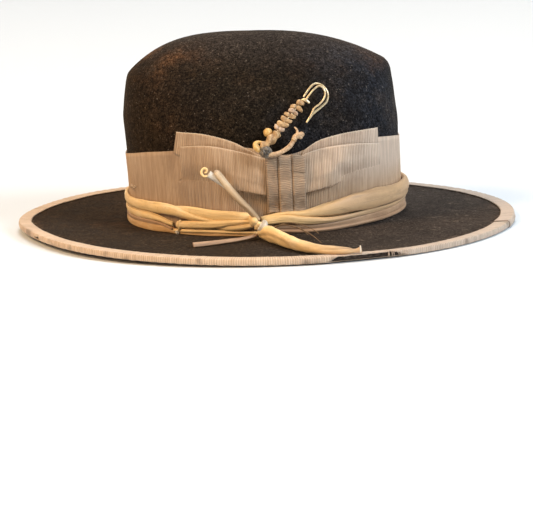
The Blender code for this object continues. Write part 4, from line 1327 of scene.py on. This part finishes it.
def make_studio():
    scene = bpy.context.scene
    scene.view_settings.view_transform = "Standard"
    world = bpy.data.worlds.new("studio")
    world.use_nodes = True
    background = world.node_tree.nodes["Background"].inputs
    background["Color"].default_value = (0.97, 0.99, 1.0, 1.0)
    background["Strength"].default_value = 0.22
    scene.world = world
    floor = bpy.data.meshes.new("floor")
    behind, bend = 3.2, 1.6      # where the paper starts to curve up, and the curve's radius
    profile = [(-6.0, 0.0)] + [(behind + bend * sin(t), bend - bend * cos(t)) for t in steps(0.0, pi / 2, 16)]
    profile.append((behind + bend, 7.0))
    verts = [(x, y, z) for y, z in profile for x in (-9.0, 9.0)]
    faces = [(2 * i, 2 * i + 1, 2 * i + 3, 2 * i + 2) for i in range(len(profile) - 1)]
    floor.from_pydata(verts, [], faces)
    floor.shade_smooth()
    made, _, shader = new_material("paper", 0.9, specular=0.1)
    shader.inputs["Base Color"].default_value = (0.69, 0.735, 0.775, 1.0)
    floor.materials.append(made)
    stage = bpy.data.objects.new("floor", floor)
    scene.collection.objects.link(stage)
    hat = (0.0, 0.0, 0.05)
    for name, spot, goal, size, power, color in (
            ("key", (-2.0, -1.5, 2.1), hat, 0.75, 84.0, (1.0, 0.68, 0.38)),
            ("fill", (2.3, -1.5, 1.6), hat, 1.1, 80.0, (0.84, 0.92, 1.0)),
            ("top", (0.1, 0.5, 2.8), hat, 1.6, 47.0, (1.0, 0.96, 0.91)),
            ("backdrop", (0.0, 1.2, 3.4), (0.0, 3.6, 0.6), 3.0, 35.5, (1.0, 1.0, 0.985))):
        light = bpy.data.lights.new(name, "AREA")
        light.size = size
        light.energy = power
        light.color = color
        lamp = bpy.data.objects.new(name, light)
        lamp.location = spot
        lamp.rotation_euler = (Vector(goal) - Vector(spot)).to_track_quat("-Z", "Y").to_euler()
        scene.collection.objects.link(lamp)


def make_camera():
    """The long lens of the picture: the hat high in the frame, a little roll."""
    ahead = Vector((0, cos(VIEW_ELEVATION), -sin(VIEW_ELEVATION)))
    level = Vector((1, 0, 0))
    rise = level.cross(ahead)
    right = level * cos(VIEW_ROLL) - rise * sin(VIEW_ROLL)
    up = level * sin(VIEW_ROLL) + rise * cos(VIEW_ROLL)
    target = Vector((0, 0, BASE_Z * MM))
    camera = bpy.data.cameras.new("camera")
    camera.lens = VIEW_DISTANCE / PICTURE_SPAN * SENSOR
    camera.sensor_width = SENSOR
    camera.clip_end = 60.0
    made = bpy.data.objects.new("camera", camera)
    turn = Matrix((right, up, -ahead)).transposed().to_4x4()
    turn.translation = target - ahead * VIEW_DISTANCE - up * HAT_RAISED
    made.matrix_world = turn
    bpy.context.scene.collection.objects.link(made)
    bpy.context.scene.camera = made


def build():
    make_camera()
    make_studio()
    felt = felt_material()
    ribbon = ribbon_material("faded_ribbon", (0.60, 0.42, 0.27), (0.42, 0.27, 0.155), (0.32, 0.21, 0.13),
                             faded=(0.73, 0.58, 0.46), faded_above=(0.032, 0.056))
    wrap = ribbon_material("grimy_ribbon", (0.62, 0.44, 0.29), (0.42, 0.285, 0.18), (0.24, 0.17, 0.115),
                           rib_pitch=1.35, cut=0.5)
    edge = ribbon_material("edge_ribbon", (0.78, 0.58, 0.40), (0.60, 0.42, 0.27), (0.34, 0.21, 0.125),
                           rib_pitch=1.7, faded=(0.62, 0.50, 0.40))
    hide = leather_material("cream_hide", (0.90, 0.62, 0.28), (0.50, 0.31, 0.13), (0.93, 0.72, 0.43),
                            faded=(0.53, 0.34, 0.18))
    pink = leather_material("pinkish_hide", (0.45, 0.275, 0.155), (0.21, 0.11, 0.06), (0.62, 0.41, 0.25))
    tan = leather_material("tan_hide", (0.52, 0.36, 0.205), (0.23, 0.14, 0.075), (0.78, 0.64, 0.45))
    grey = leather_material("greyed_hide", (0.66, 0.60, 0.50), (0.36, 0.28, 0.20), (0.84, 0.80, 0.72))
    orange = leather_material("orange_hide", (0.64, 0.38, 0.16), (0.36, 0.19, 0.07), (0.78, 0.56, 0.30))
    dark_thread = bead_material("brown_thread", (0.22, 0.13, 0.06), (0.10, 0.06, 0.03), 0.7)
    gilt = metal_material()
    wood = bead_material("bead_wood", (0.56, 0.37, 0.18), (0.30, 0.17, 0.075), 0.5)
    yellow = bead_material("bead_yellow", (0.72, 0.46, 0.16), (0.54, 0.31, 0.09), 0.35)
    pinkish = bead_material("bead_pinkish", (0.54, 0.39, 0.27), (0.32, 0.20, 0.13), 0.5)
    twig = bead_material("peeled_twig", (0.62, 0.44, 0.27), (0.36, 0.22, 0.12), 0.6)
    thread = bead_material("waxed_thread", (0.27, 0.225, 0.175), (0.010, 0.009, 0.008), 0.34)
    selvedge_yarn = ribbon_material("selvedge_yarn", (0.80, 0.64, 0.46), (0.66, 0.50, 0.34), (0.50, 0.38, 0.26),
                                    faded=(0.86, 0.74, 0.62))
    linen = bead_material("linen_thread", (0.72, 0.64, 0.52), (0.42, 0.34, 0.25), 0.7)
    sweat = leather_material("sweatband_hide", (0.20, 0.10, 0.045), (0.10, 0.048, 0.022), (0.28, 0.15, 0.075))
    satin = cloth_material("lining_satin", (0.30, 0.235, 0.155), (0.19, 0.135, 0.08))
    cord = ribbon_material("reed_ribbon", (0.07, 0.052, 0.038), (0.035, 0.026, 0.02), (0.02, 0.014, 0.01))
    make_felt(felt)
    make_binding(edge)
    make_band(ribbon, selvedge_yarn)
    make_bow(ribbon, wrap, selvedge_yarn)
    make_ties(hide, pink, orange, linen)
    make_knot(hide, grey)
    make_tails(hide, tan, grey, pink, dark_thread)
    make_charm(wood, yellow, pinkish, gilt, thread, twig)
    make_inside(sweat, satin, cord)


build()
